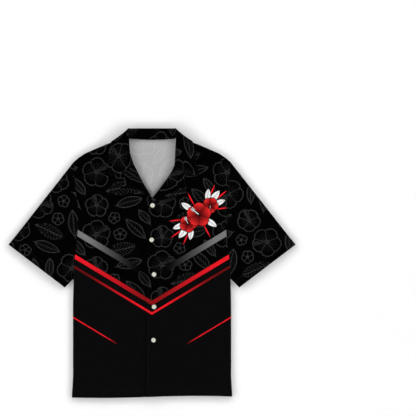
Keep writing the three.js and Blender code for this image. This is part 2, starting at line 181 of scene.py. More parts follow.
# Smaller creases that only the cloth shows, in the same columns. A rise below zero is a trough.
CREASES = [
    (186, 352, 120, 7, 152, 0.7), (196, 384, 110, 6, 136, -0.6), (172, 330, 150, 8, 168, 0.6),
    (-190, 350, 130, 7, 31, 0.7), (-196, 390, 104, 6, 46, -0.6), (-168, 326, 140, 8, 14, 0.5),
    (60, 402, 70, 6, 8, 0.5), (-52, 396, 64, 6, 174, -0.4), (46, 304, 74, 6, -7, 0.5),
    (-60, 310, 80, 7, 186, 0.4), (40, 208, 64, 6, 11, -0.4), (-44, 214, 70, 6, 172, 0.5),
    (96, 470, 170, 9, 66, 0.6), (-112, 468, 150, 8, 112, 0.6), (168, 540, 130, 8, 78, -0.6),
    (-170, 530, 140, 8, 104, 0.6), (66, 92, 120, 8, 80, 0.6), (-66, 70, 110, 8, 95, -0.6),
    (200, 190, 150, 7, 86, 0.6), (-204, 226, 160, 7, 94, 0.6), (120, 30, 90, 7, 76, 0.5),
    (-118, 24, 84, 7, 99, 0.5), (252, 392, 110, 7, 58, 0.8), (-256, 404, 100, 7, 118, -0.7),
    (330, 420, 120, 8, 60, 0.7), (-336, 424, 110, 7, 116, 0.7), (262, 520, 120, 8, 44, 0.6),
    (-268, 516, 110, 8, 140, 0.6), (318, 384, 70, 6, 40, -0.6), (-300, 390, 80, 6, 142, 0.6),
    (16, 150, 60, 5, 84, 0.3), (14, 420, 66, 5, 95, 0.3), (-14, 110, 90, 7, 96, 0.5),
]

# How much folds and creases bend along their length
FOLD_BEND = 0.0009
# Slight unevenness of worn-in cloth: the length, start and direction of each wave
CRUMPLE_WAVES = [(41, 0.9, 0.1), (67, 2.4, 1.7), (29, 5.1, 2.9), (93, 3.3, 0.6), (53, 4.2, 2.2)]
CRUMPLE_RISE = 0.09

# Collar, one row per section from the centre back to the end of the leaf: where it joins the neck, its
# roll, the free edge of its fall, how far it lies over the front, and how much the section is hollowed.
COLLAR_SECTIONS = [
    (0, 733.4, 0, 765, 0, 716, 0, 0), (20, 733.8, 20, 765, 27, 716, 0, 0),
    (38, 734.6, 38, 765, 54, 716.5, 0, 0), (54, 736, 53, 765, 82, 718, 0, 0),
    (65, 740, 63, 765, 112.5, 727.6, 0, 0.6), (71.5, 748.5, 67.5, 765, 114, 728.6, 0.5, 1),
    (79.5, 743.5, 69, 758, 116.5, 726.2, 1, 0.8), (82.5, 736, 69, 742, 119.5, 718, 1, 0),
    (82, 720, 68, 724, 122.5, 700, 1, 0), (80, 704, 67.4, 706, 125.5, 680, 1, 0),
    (77.5, 691, 66, 692, 128, 655, 1, 0),
]
# The collar's roll and stand, the free edges' lift, and the points round each fold
CURL = 2.4
STAND_RISE = 1.5
STAND_RISE_SPAN = (0, 0.6)
ROLL_RISE = 3.7
BACK_ROLL_RISE = 0.5
COLLAR_EDGE_LIFT = 0.9
LAPEL_EDGE_LIFT = 0.7
EDGE_LIFT_SPAN = (0.6, 1.0)
STAND_STEPS = 8
TURN_STEPS = 7
CREST_COLUMN = STAND_STEPS - 1 + TURN_STEPS // 2
COLLAR_END_STAND = 9
COLLAR_SEAM_TOP = (82.5, 741)
GORGE_GAP = 0.5
# Shares along the end of the collar's leaf for its corners, and the leaf's and lapel's points
END_SHARES = [0, 0.2, 0.42, 0.64, 0.84, 1]
LEAF_POINTS = {
    "left": {"gorge": 662, "notch": (91, 640), "leaf": (136, 626), "lapel": (100, 583), "foot": 553},
    "right": {"gorge": 668, "notch": (74, 643), "leaf": (125, 627), "lapel": (89, 590), "foot": 575},
}
LAPEL_TIP_SHARE = 0.56
LAPEL_FOOT_WIDTH = 9
LAPEL_BELLY = 5
LAPEL_ROLL = (2.4, 3.5)
LAPEL_BEND = 1
LAPEL_BEND_RISE = 0.3
LAPEL_TAIL = ((ROLL_INSET - 0.4, 0), (2.2, 0.1))
SIGNS = {"left": 1, "right": -1}

# The lengths that rows and columns of the sheets divide, and their steps. The closest rows are at edges.
BACK_COLUMNS = (447, 3.9)
BACK_SLOPE_ROWS = (72, 3.9)
FRONT_COLUMNS = (212, 3.7)
FRONT_SLOPE_ROWS = (75, 3.7)
SLEEVE_COLUMNS = (262, 3.7)
SLEEVE_ROWS = (250, 3.9)
SLEEVE_HEM_ROWS = (24, 21.4, 20, 18.6, 16, 12.5, 9, 5.5, 3, 1.5, 0.6, 0)
FALL_COLUMNS = (52, 3.3, (0.2, 0.8, 1.8, 3.2))
LEAF_ROWS = (29, 2.6, (0.2, 0.8, 1.8, 3.0))
LAPEL_ROWS = (110, 3, (0.2, 0.8, 1.8, 3.0))
LAPEL_COLUMNS = (60, 3.2, (0.3, 1.0, 2.0, 3.0))
COLLAR_STEPS = 6
BODY_STEP = 3.7
HEM_MARKS = (-3, -1.4, 0, 1.4, 3)

# Where the sleeves, collar and lapels were cut from the printed cloth
SLEEVE_CUTS = {"left": (340, 115), "right": (-340, 25)}
COLLAR_CUT = -130
LAPEL_CUTS = {"left": (30, -280), "right": (30, -360)}

button_names = sorted(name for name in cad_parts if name.startswith("button"))
button_boxes = {name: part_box(name) for name in button_names}
BUTTON_PLACES = [
    ((low.x + high.x) / 2 / MM, (low.y + high.y) / 2 / MM - HEM_Y) for low, high in button_boxes.values()
]


# Outline


def smoothstep(value, low, high):
    share = np.clip((value - low) / (high - low), 0, 1)
    return share * share * (3 - 2 * share)


def lerp(low, high, share):
    return low + (high - low) * share


def bell(distance, height, reach):
    return height * np.exp(-((distance / reach) ** 2))


def armhole_half(height):
    share = np.clip((height - UNDERARM_HEIGHT) / (SHOULDER_HEIGHT - UNDERARM_HEIGHT), 0, 1)
    return ARMHOLE_HALF - ARMHOLE_BOW * np.sin(np.pi * share) ** 2


def side_half(height):
    side = np.interp(height, *zip(*SIDE_EDGE))
    return np.where(height <= UNDERARM_HEIGHT, side, armhole_half(height) - ARMHOLE_GAP)


def shoulder_height(half):
    return np.interp(half, *zip(*SHOULDER_SEAM))


def back_top(half):
    neck = BACK_NECK_HEIGHT + BACK_NECK_RISE * (half / BACK_NECK_HALF) ** 2
    share = np.clip((half - BACK_NECK_HALF) / (NECK_SEAM_END - BACK_NECK_HALF), 0, 1)
    corner = lerp(neck, shoulder_height(NECK_SEAM_END), share)
    return np.where(half < NECK_SEAM_END, corner, shoulder_height(half) - BACK_TOP_INSET)


def roll_half(side, height):
    return np.interp(height, ROLL_HEIGHTS, ROLL_HALVES[side])


def collar_seam_half(side, height):
    gorge = LEAF_POINTS[side]["gorge"]
    share = np.clip((height - gorge) / (COLLAR_SEAM_TOP[1] - gorge), 0, 1)
    return lerp(roll_half(side, gorge) + COLLAR_END_STAND, COLLAR_SEAM_TOP[0], share)


def front_inner(side, height):
    points = LEAF_POINTS[side]
    edge = np.maximum(-PLACKET_LAP, roll_half(side, height))
    under_lapel = roll_half(side, height) + ROLL_INSET
    under_collar = collar_seam_half(side, height) + FRONT_SEAM_GAP
    upper = np.where(height < points["gorge"] - GORGE_MARGIN, under_lapel, under_collar)
    return np.where(height < points["foot"], edge, upper)


def hem_shift(x, height):
    wave = np.sin(2 * np.pi * (x - HEM_WAVE_START) / HEM_WAVE_LENGTH)
    return HEM_WAVE * wave * np.maximum(0, 1 - height / HEM_WAVE_REACH)


def sleeve_point(along, across):
    """The point of a sleeve between its armhole and hem, and between its underarm and its top fold."""
    armhole = lerp(UNDERARM_HEIGHT, SHOULDER_HEIGHT, across)
    x = lerp(armhole_half(armhole), lerp(SLEEVE_HEM_INNER[0], SLEEVE_HEM_OUTER[0], across), along)
    height = lerp(armhole, lerp(SLEEVE_HEM_INNER[1], SLEEVE_HEM_OUTER[1], across), along)
    return x, height


# Heights of the cloth above the floor

fold_shares = np.linspace(0, 1, 9)
side_points = [(half, height) for height, half in SIDE_EDGE[:-1]]
UNDER_EDGE = [HEM_FOOT, *side_points, *zip(*sleeve_point(fold_shares, 0 * fold_shares))]
TOP_EDGE = [*zip(*sleeve_point(fold_shares[::-1], 1 + 0 * fold_shares)), *SHOULDER_SEAM[-2::-1]]


def closed_distance(x, height):
    """Distance to the nearest edge where the upper and lower layers are sewn or folded together."""
    half = np.abs(x)
    nearest = np.full(np.shape(half), 1e9)
    for line in (UNDER_EDGE, TOP_EDGE):
        for (ax, ay), (bx, by) in zip(line, line[1:]):
            dx, dy = bx - ax, by - ay
            along = np.clip(((half - ax) * dx + (height - ay) * dy) / (dx * dx + dy * dy), 0, 1)
            nearest = np.minimum(nearest, np.hypot(half - ax - along * dx, height - ay - along * dy))
    return nearest


def direction(degrees):
    return math.cos(math.radians(degrees)), math.sin(math.radians(degrees))


def ridges(table, x, height):
    rise = np.zeros(np.shape(x))
    for across, up, length, width, turn, top in table:
        cosine, sine = direction(turn)
        along = (x - across) * cosine + (height - up) * sine
        aside = (height - up) * cosine - (x - across) * sine + FOLD_BEND * along * along
        rise += top * np.exp(-((aside / width) ** 2) - (along / (0.5 * length)) ** 2)
    return rise


def crumple(x, height):
    waves = 0
    for length, start, turn in CRUMPLE_WAVES:
        along = x * math.cos(turn) + height * math.sin(turn)
        waves = waves + CRUMPLE_RISE * np.sin(along * 2 * np.pi / length + start)
    return waves


def button_dips(x, height):
    """How far the thread of each button pulls the cloth down."""
    squares = [(x - across) ** 2 + (height - up) ** 2 for across, up in BUTTON_PLACES]
    return sum(BUTTON_DIP * np.exp(-square / BUTTON_DIP_REACH**2) for square in squares)


def back_level(x, height):
    up = smoothstep(height, *NECK_LIFT_SPAN)
    inside = 1 - smoothstep(np.abs(x), *NECK_LIFT_HALVES)
    return REST + SINGLE / 2 + NECK_LIFT * up * inside


def neck_puff(x, height):
    """How far the back panel puffs up inside the open neck, and a little more in the foot of the V."""
    up = smoothstep(height, *NECK_PUFF_FOOT) * (1 - smoothstep(height, *NECK_PUFF_HEAD))
    puff = NECK_PUFF * up * (1 - smoothstep(np.abs(x - NECK_PUFF_MIDDLE), *NECK_PUFF_HALVES))
    room = front_level(x, height) - back_level(x, height) - (SINGLE + DOUBLE) / 2 - CLEARANCE
    inset = np.minimum(roll_half("left", height) - x, roll_half("right", height) + x)
    in_v = smoothstep(inset, *V_PUFF_INSET) * (1 - smoothstep(height, *V_PUFF_HEAD))
    return np.minimum(puff, np.maximum(room, 0)) + V_PUFF * in_v


def front_level(x, height):
    distance = closed_distance(x, height)
    lower = back_level(x, height)
    air = 1 - np.exp(-distance / LOFT_REACH)
    uneven = ridges(FOLDS, x, height) + ridges(CREASES, x, height) + crumple(x, height)
    drop = HEM_DROP * (1 - smoothstep(height, 0, 2 * HEM_DEPTH))
    raised = lower + EDGE_RISE + (LOFT + uneven - drop) * air - button_dips(x, height)
    rounding = np.sqrt(np.clip(1 - (1 - np.clip(distance / EDGE_ROUND, 0, 1)) ** 2, 0, 1))
    return lerp(lower + LEAST_GAP, raised, rounding)


def level_of_front(side, x, height):
    step = LAP_STEP * (1 - smoothstep(x, *LAP_STEP_SPAN)) if side == "left" else 0
    return front_level(x, height) + step


# Sheets of cloth


def graded(length, step, near=(0.2, 0.7, 1.6, 3.0), marks=()):
    """Shares along a length, evenly spaced but closer at both ends, with rows on the marks too."""
    inner = np.arange(near[-1] + step, length - near[-1] - step / 2, step)
    inner = [p for p in inner if all(abs(p - m) > 0.7 * step for m in marks)]
    ends = [0, *near, *(length - n for n in near), length]
    places = sorted({round(float(p), 4) for p in [*ends, *inner, *marks]})
    return np.array(places) / length


def to_metres(x, height, z):
    return np.stack([x, height + HEM_Y, z], axis=-1) * MM


def new_mesh(name, points, faces):
    mesh = bpy.data.meshes.new(name)
    mesh.from_pydata(points, [], faces)
    return mesh


def new_object(name, data):
    thing = bpy.data.objects.new(name, data)
    scene.collection.objects.link(thing)
    return thing


def new_piece(name, mesh, materials):
    """A mesh object that rides with the shirt, smooth shaded, with the given materials."""
    for material in materials:
        mesh.materials.append(material)
    mesh.polygons.foreach_set("use_smooth", np.ones(len(mesh.polygons), dtype=bool))
    mesh.update()
    piece = new_object(name, mesh)
    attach(piece, "root")
    return piece


def cloth_sheet(name, points, uv, thick, materials, slot, flip=False, hem=None, rim=0):
    """A sheet from rows of points along its middle, with one material on its upper side and one below.

    uv is the place of each point on the flat cloth. On a tube it has one column more than the points.
    hem tells which points are in a turned hem, where the third material shows on both sides.
    rim tells how far on in the list the material of the cut edge is.
    """
    rows, columns = points.shape[:2]
    r, c = np.mgrid[0 : rows - 1, 0 : uv.shape[1] - 1]
    steps = [(0, 0), (0, 1), (1, 1), (1, 0)]
    if flip:
        steps.reverse()
    faces = np.stack([(r + dr) * columns + (c + dc) % columns for dr, dc in steps], axis=-1).reshape(-1, 4)
    corners = np.stack([uv[r + dr, c + dc] for dr, dc in steps], axis=2)
    mesh = new_mesh(name, points.reshape(-1, 3).tolist(), faces.tolist())
    mesh.uv_layers.new(name="Cloth").data.foreach_set("uv", (corners * MM).astype(np.float32).ravel())
    piece = new_piece(name, mesh, materials)
    if hem is not None:
        in_hem = (hem[r, c] & hem[r + 1, c]).ravel()
        mesh.polygons.foreach_set("material_index", np.where(in_hem, 2, 0).astype(np.int32))
    thick = np.broadcast_to(np.asarray(thick, dtype=float), (rows, columns)).ravel()
    layers = piece.vertex_groups.new(name="Thickness")
    for share in np.unique(np.round(thick / thick.max(), 2)):
        chosen = np.flatnonzero(np.round(thick / thick.max(), 2) == share)
        layers.add(chosen.tolist(), float(share), "REPLACE")
    wall = piece.modifiers.new("Cloth thickness", "SOLIDIFY")
    wall.thickness = thick.max() * MM
    wall.offset = 0
    wall.vertex_group = layers.name
    wall.material_offset = min(1, len(materials) - 1)
    wall.material_offset_rim = rim
    return piece


def surface_of(points, thick, flip=False):
    """The outer face of a sheet, and the direction it faces."""
    normals = np.cross(np.gradient(points, axis=1), np.gradient(points, axis=0))
    normals /= np.maximum(np.linalg.norm(normals, axis=2, keepdims=True), 1e-12)
    normals *= -1 if flip else 1
    return points + normals * np.broadcast_to(thick, points.shape[:2])[..., None] * MM / 2, normals


# Detail sewn into the sheets


def stitched(distance, along):
    """How far a line of stitching lifts or lowers the cloth, with the puckers beside it."""
    puckers = np.sin(along * PUCKER_PACE + 2 * np.sin(along / PUCKER_WANDER))
    return puckers * bell(distance, *PUCKER) - bell(distance, *STITCH_DIP)


def turned(distance, depth):
    """1 on a turned edge and 0 past it."""
    return 1 - smoothstep(distance, depth - HEM_EDGE_SOFTNESS, depth + HEM_EDGE_SOFTNESS)


def body_rows():
    marks = [HEM_DEPTH + mark for mark in HEM_MARKS]
    return graded(SLOPE_FOOT, BODY_STEP, marks=marks)[:, None] * SLOPE_FOOT


def in_body_hem(height):
    return height < HEM_DEPTH + HEM_MARKS[-1]


def armhole_span(height, inset):
    """1 between the underarm and the shoulder, and 0 nearer to them than the inset."""
    foot, head = UNDERARM_HEIGHT + inset, SHOULDER_HEIGHT - inset
    low = smoothstep(height, foot, foot + ALLOWANCE_FADE)
    return low * (1 - smoothstep(height, head - ALLOWANCE_FADE, head))


def back_grid():
    """The back's middle surface, its thickness, and where its printed side is turned in."""
    across = graded(*BACK_COLUMNS)[None, :] * 2 - 1
    low = body_rows()
    high = graded(*BACK_SLOPE_ROWS)[1:, None]
    x = across * (side_half(low) - BACK_INSET - BACK_HEM_INSET * turned(low, HEM_DEPTH))
    x_high = np.broadcast_to(across * (side_half(SLOPE_FOOT) - BACK_INSET), (len(high), across.size))
    height = np.concatenate([low + 0 * x, lerp(SLOPE_FOOT, back_top(np.abs(x_high)), high)])
    x = np.concatenate([x, x_high])
    hem = turned(height, HEM_DEPTH)
    from_edge = (1 - np.abs(across)) * ARMHOLE_HALF
    tuck = armhole_span(height, TUCK_INSET) * (1 - smoothstep(from_edge, *TUCK_SPAN))
    level = back_level(x, height) + neck_puff(x, height) + 0.5 * hem * (DOUBLE - SINGLE)
    level += ALLOWANCE_RISE * armhole_span(height, RISE_INSET) * (1 - smoothstep(from_edge, *RISE_SPAN))
    x = x + np.sign(across) * tuck * (ALLOWANCE + BACK_INSET + ARMHOLE_GAP)
    thick = lerp(SINGLE, DOUBLE, hem)
    printed = in_body_hem(height) | (tuck > 0.1)
    height = height + hem_shift(x, height) + BACK_HEM_INSET * (height < 1)
    return x, height, level, thick, printed


def front_grid(side):
    """A front's middle surface, and its thickness."""
    sign = SIGNS[side]
    across = graded(*FRONT_COLUMNS)[None, :]
    low = body_rows()
    high = graded(*FRONT_SLOPE_ROWS)[1:, None]
    neck_half = front_inner(side, COLLAR_SEAM_TOP[1])
    neck_height = shoulder_height(neck_half)
    half = lerp(front_inner(side, low), side_half(low), across)
    inner = front_inner(side, lerp(SLOPE_FOOT, neck_height, high))
    half_high = lerp(inner, side_half(SLOPE_FOOT), across)
    top_half = lerp(neck_half, side_half(SLOPE_FOOT), across)
    height = np.concatenate([low + 0 * half, lerp(SLOPE_FOOT, shoulder_height(top_half), high)])
    half = np.concatenate([half, half_high])
    if sign < 0:
        half, height = half[:, ::-1], height[:, ::-1]
    x = sign * half
    from_edge = half + PLACKET_LAP
    below_lapel = height < LEAF_POINTS[side]["foot"]
    placket = turned(from_edge, PLACKET_WIDTH) * below_lapel
    hem = turned(height, HEM_DEPTH)
    thick = lerp(SINGLE, DOUBLE, np.maximum(hem, placket))
    level = level_of_front(side, x, height) + stitched(height - HEM_DEPTH, x)
    level += stitched(from_edge - PLACKET_STITCH, height) * below_lapel * PLACKET_STITCH_SHARE
    level -= bell(armhole_half(height) - half, *SEAM_DIP) * (height >= UNDERARM_HEIGHT)
    return x, height + hem_shift(x, height), level, thick


def sleeve_grid(side):
    """A flattened tube: columns run up its upper layer and back along its lower one.

    Gives its middle surface, its thickness and its places on the flat cloth.
    """
    sign = SIGNS[side]
    hem = np.array(SLEEVE_HEM_OUTER) - np.array(SLEEVE_HEM_INNER)
    hem = hem / np.linalg.norm(hem)
    top = graded(*SLEEVE_COLUMNS)
    across = np.concatenate([top, top[-2:0:-1]])[None, :]
    lower_layer = np.arange(across.size)[None, :] >= top.size
    start = sleeve_point(0 * across, across)
    depth = (start[1] - SLEEVE_HEM_INNER[1]) * hem[0] - (start[0] - SLEEVE_HEM_INNER[0]) * hem[1]
    near_hem = np.array(SLEEVE_HEM_ROWS)[:, None]
    upper_rows = graded(*SLEEVE_ROWS)[:-1, None] * (1 - near_hem[0] / depth)
    along = np.concatenate([upper_rows, 1 - near_hem / depth])
    across = across + 0 * along
    half, height = sleeve_point(along, across)
    from_hem = (1 - along) * depth
    thick = lerp(SINGLE, DOUBLE, turned(from_hem, HEM_DEPTH))
    x = sign * half
    along_hem = (half - SLEEVE_HEM_INNER[0]) * hem[0] + (height - SLEEVE_HEM_INNER[1]) * hem[1]
    from_armhole = half - armhole_half(height)
    open_edge = 1 - np.exp(-closed_distance(x, height) / SLEEVE_EDGE_REACH)
    seam = bell(from_armhole - ARMHOLE_RIDGE_PLACE, *ARMHOLE_RIDGE) - bell(from_armhole, *SEAM_DIP)
    upper = front_level(x, height) + (stitched(from_hem - HEM_DEPTH, along_hem) + seam) * open_edge
    lower = REST + thick / 2
    level = np.where(lower_layer, lower, np.maximum(upper, lower + LEAST_GAP))
    fold = np.array(sleeve_point(along, np.ones_like(along)))
    out = (fold[0] - half) * hem[0] + (fold[1] - height) * hem[1]
    u = np.where(lower_layer, -out, out)
    u = np.concatenate([u, -u[:, :1]], axis=1)
    v = np.concatenate([from_hem, from_hem[:, :1]], axis=1)
    return x, height, level, thick, np.stack([u, v], axis=-1) + SLEEVE_CUTS[side]


# Collar and lapels


def towards(start, end, distance):
    step = end - start
    return start + step * distance / max(np.linalg.norm(step), 1e-9)


def turn_over(low, high, crest):
    """Points round a fold from its lower side to its upper one, out to its crest. Each is (x, height, z)."""
    angle = np.linspace(-np.pi / 2, np.pi / 2, TURN_STEPS)[:, None]
    middle = (low + high) / 2
    reach = np.append(crest - middle[:2], 0)
    return lerp(low, high, (np.sin(angle) + 1) / 2) + reach * np.cos(angle)


def collar_section(side, seam, roll, path, over):
    """One section of the collar, from its neck seam over the roll to the edge of its fall.

    path gives the fall's points in plan, for shares from the roll to the edge.
    """
    sign = SIGNS[side]
    front = lambda point: level_of_front(side, sign * point[..., 0], point[..., 1])
    behind = REST + COLLAR_CLOTH / 2
    on_back = back_level(seam[0], seam[1]) + SINGLE / 2 + TOUCH + COLLAR_CLOTH / 2
    seam_z = lerp(on_back, front(seam) + CAD_GAP, over)
    stand_z = seam_z + STAND_RISE * (1 - over)
    roll_z = lerp(behind + BACK_ROLL_RISE, front(roll) + ROLL_RISE, over)
    reach = np.linalg.norm(path(1.0) - roll)
    shares = lerp(CURL / reach, 1, graded(*FALL_COLUMNS))
    fall = np.array([path(share) for share in shares])
    rest = front(fall) + SINGLE / 2 + TOUCH + COLLAR_CLOTH / 2 + LEAST_GAP
    lift = lerp(rest, roll_z, (1 - shares) ** 2) + COLLAR_EDGE_LIFT * smoothstep(shares, *EDGE_LIFT_SPAN)
    fall_z = lerp(behind, lift, over)
    stand_side = towards(roll, seam, CURL)
    shares = np.linspace(0, 1, STAND_STEPS)[:, None]
    stand = lerp(seam, stand_side, shares)
    stand_rise = lerp(seam_z, stand_z, smoothstep(shares, *STAND_RISE_SPAN))
    stand = np.concatenate([stand, stand_rise], axis=1)
    fall = np.concatenate([fall, fall_z[:, None]], axis=1)
    return np.concatenate([stand[:-1], turn_over(stand[-1], fall[0], roll), fall[1:]])


def smooth_rows(rows, steps):
    """Rows between those of a table, on smooth curves through them."""
    padded = np.concatenate([rows[:1], rows, rows[-1:]])
    places = np.linspace(0, len(rows) - 1, (len(rows) - 1) * steps + 1)
    first = np.minimum(places.astype(int), len(rows) - 2)
    t = (places - first)[:, None]
    a, b, c, d = (padded[first + k] for k in range(4))
    bend, twist = 2 * a - 5 * b + 4 * c - d, 3 * b - a - 3 * c + d
    return 0.5 * (2 * b + (c - a) * t + bend * t**2 + twist * t**3)


def collar_half(side):
    rows = np.array(COLLAR_SECTIONS, dtype=float)
    over_front = rows[:, 6] == 1
    rows[over_front, 0] = collar_seam_half(side, rows[over_front, 1])
    rows[over_front, 2] = roll_half(side, rows[over_front, 3])
    sections = []
    for row in smooth_rows(rows, COLLAR_STEPS):
        seam, roll, edge = row[0:2], row[2:4], row[4:6]
        straight = lambda s: lerp(roll, edge, s) - row[7] * math.sin(math.pi * s)
        sections.append(collar_section(side, seam, roll, straight, float(np.clip(row[6], 0, 1))))
    points = LEAF_POINTS[side]
    gorge = points["gorge"] + GORGE_GAP
    end_roll = np.array([roll_half(side, points["gorge"]), gorge])
    notch = np.array(points["notch"]) + (0, GORGE_GAP)
    tip = np.array(points["leaf"], dtype=float)
    leaf_edge = [lerp(notch, tip, 0.35), lerp(notch, tip, 0.7), tip]
    corners = np.array([end_roll, (end_roll + notch) / 2, notch, *leaf_edge])
    bent = lambda s: np.array([np.interp(s, END_SHARES, corners[:, k]) for k in (0, 1)])
    end_seam = np.array([collar_seam_half(side, gorge), gorge])
    seam, roll, edge = rows[-1, 0:2], rows[-1, 2:4], rows[-1, 4:6]
    for share in graded(*LEAF_ROWS)[1:]:
        path = lambda s: lerp(lerp(roll, edge, s), bent(s), share)
        place = lerp(seam, end_seam, share), lerp(roll, end_roll, share)
        sections.append(collar_section(side, *place, path, 1.0))
    return np.array(sections)


def collar_grid():
    """The collar's middle surface from its right end to its left one, and its places on the flat cloth."""
    left, right = collar_half("left"), collar_half("right")
    halves = []
    for half, sign in ((right, -1), (left, 1)):
        steps = np.linalg.norm(np.diff(half, axis=0), axis=2)
        along = np.concatenate([[0], np.cumsum(steps[:, [CREST_COLUMN, -1]].mean(axis=1))])
        across = np.cumsum(np.linalg.norm(np.diff(half, axis=1, prepend=half[:, :1]), axis=2), axis=1)
        across = across - across[:, CREST_COLUMN, None]
        flat = np.stack([sign * along[:, None] + 0 * across, across + COLLAR_CUT], axis=-1)
        halves.append((half * (sign, 1, 1), flat))
    return [np.concatenate([right[::-1], left[1:]]) for right, left in zip(*halves)]


def lapel_outer(side, share, foot):
    points = LEAF_POINTS[side]
    tip = np.array(points["lapel"], dtype=float)
    if share > LAPEL_TIP_SHARE:
        upper = (share - LAPEL_TIP_SHARE) / (1 - LAPEL_TIP_SHARE)
        return lerp(tip, np.array(points["notch"]) - (0, GORGE_GAP), upper)
    lower = share / LAPEL_TIP_SHARE
    return lerp(foot, tip, lower) - (0, LAPEL_BELLY * math.sin(math.pi * lower))


def lapel_grid(side):
    """A lapel's middle surface from its foot to the gorge, and its places on the flat cloth."""
    sign = SIGNS[side]
    points = LEAF_POINTS[side]
    foot = np.array([float(roll_half(side, points["foot"])), points["foot"]])
    foot = foot + (LAPEL_FOOT_WIDTH, LAPEL_FOOT_WIDTH / 2)
    tip_marks = [LAPEL_TIP_SHARE * LAPEL_ROWS[0] + mark for mark in (-3, -1, 0, 1)]
    rows, flats = [], []
    for share in graded(*LAPEL_ROWS, tip_marks):
        height = lerp(points["foot"], points["gorge"] - GORGE_GAP, share)
        roll = np.array([float(roll_half(side, height)), height])
        outer = lapel_outer(side, share, foot)
        level = float(level_of_front(side, sign * roll[0], height))
        high = level + lerp(*LAPEL_ROLL, min(1, 2 * share))
        across = graded(*LAPEL_COLUMNS)[1:, None]
        top = lerp(roll + (LAPEL_BEND, 0), outer, across)
        rest = level_of_front(side, sign * top[:, 0], top[:, 1]) + (SINGLE + LAPEL_CLOTH) / 2 + TOUCH
        across = across[:, 0]
        top_z = lerp(rest, high, (1 - across) ** 2) + LAPEL_EDGE_LIFT * smoothstep(across, *EDGE_LIFT_SPAN)
        low = np.array([roll[0] + LAPEL_BEND, height, level + LAPEL_BEND_RISE])
        bend = turn_over(low, np.array([roll[0] + LAPEL_BEND, height, high]), roll)
        tail = np.array([(roll[0] + aside, height, level + rise) for aside, rise in LAPEL_TAIL])
        rows.append(np.concatenate([tail, bend, np.column_stack([top, top_z])]))
        turned_in = np.arange(len(tail) + TURN_STEPS) - 1 - len(tail) - TURN_STEPS
        flats.append(np.concatenate([turned_in, np.linalg.norm(top - roll, axis=1)]))
    grid = np.array(rows)
    aside, up = LAPEL_CUTS[side]
    uv = np.stack([sign * (np.array(flats) + aside), grid[..., 1] + up], axis=-1)
    return grid * (sign, 1, 1), uv


# Shader arithmetic


def arithmetic(operation):
    return lambda *values: maths(operation, *values)


class Num:
    """A number in a shader that can be written as arithmetic."""

    __add__ = __radd__ = arithmetic("ADD")
    __sub__ = arithmetic("SUBTRACT")
    __mul__ = __rmul__ = arithmetic("MULTIPLY")
    __truediv__ = arithmetic("DIVIDE")
    __abs__ = arithmetic("ABSOLUTE")

    def __init__(self, tree, socket):
        self.tree, self.socket = tree, socket

    def __rsub__(self, other):
        return maths("SUBTRACT", other, self)


def feed(tree, node, inputs):
    """Sets each input of a node to its number or colour, or links it to its socket."""
    for key, value in inputs.items():
        value = value.socket if isinstance(value, Num) else value
        if isinstance(value, bpy.types.NodeSocket):
            tree.links.new(value, node.inputs[key])
        else:
            node.inputs[key].default_value = value


def new_node(tree, kind, inputs, **settings):
    node = tree.nodes.new(kind)
    for key, value in settings.items():
        setattr(node, key, value)
    feed(tree, node, inputs)
    return node


def maths(operation, *values, clamp=False):
    tree = next(value.tree for value in values if isinstance(value, Num))
    inputs = dict(enumerate(values))
    node = new_node(tree, "ShaderNodeMath", inputs, operation=operation, use_clamp=clamp)
    return Num(tree, node.outputs[0])


def times_plus(value, factor, plus, clamp=False):
    return maths("MULTIPLY_ADD", value, factor, plus, clamp=clamp)


def vector_maths(tree, operation, inputs):
    return new_node(tree, "ShaderNodeVectorMath", inputs, operation=operation).outputs[0]


def length_of(x, y):
    return maths("SQRT", times_plus(x, x, y * y))


def wrapped(value, half):
    return maths("WRAP", value, half, -half)


def turned_by(x, y, degrees):
    cosine, sine = direction(degrees)
    return times_plus(x, cosine, y * sine), times_plus(y, cosine, x * -sine)


def inside(distance, soft=0.5):
    """1 where a distance is below zero."""
    return times_plus(distance, -1 / soft, 0.5, clamp=True)


def stroke(distance, width, soft=0.5):
    """1 on a line of the given width along where a distance is zero."""
    return times_plus(abs(distance), -1 / soft, 0.5 * width / soft + 0.5, clamp=True)


def either(*masks):
    joined = masks[0]
    for mask in masks[1:]:
        joined = maths("MAXIMUM", joined, mask)
    return joined


def new_group(name, outputs):
    """A node group with one input, the place on the cloth, and with the given outputs."""
    tree = bpy.data.node_groups.new(name, "ShaderNodeTree")
    tree.interface.new_socket("Place", in_out="INPUT", socket_type="NodeSocketVector")
    for label, kind in outputs.items():
        tree.interface.new_socket(label, in_out="OUTPUT", socket_type=kind)
    return tree, tree.nodes.new("NodeGroupInput").outputs[0], tree.nodes.new("NodeGroupOutput")


def parts_of(tree, vector):
    node = new_node(tree, "ShaderNodeSeparateXYZ", {0: vector})
    return Num(tree, node.outputs[0]), Num(tree, node.outputs[1])


def noise(tree, vector, scale, detail=2, output="Fac"):
    inputs = {"Scale": scale, "Detail": detail, "Vector": vector}
    return Num(tree, new_node(tree, "ShaderNodeTexNoise", inputs).outputs[output])


def mixed(tree, low, high, share):
    """One colour over another. Each is a socket or a colour."""
    low, high = ((*tint, 1) if isinstance(tint, tuple) else tint for tint in (low, high))
    return new_node(tree, "ShaderNodeMix", {0: share, 6: low, 7: high}, data_type="RGBA").outputs[2]


# The print: an outlined all-over pattern of flowers and leaves, drawn in millimetres on the flat cloth

REPEAT = (186, 176)
LINE = 2.2
FINE_LINE = 1.4
WOBBLE = (9, 9, 0)
WOBBLE_SCALE = 0.02
FADE_SCALE = 0.09


# In the drawings, bare numbers are shares of a motif's size, strengths or millimetres of softness.


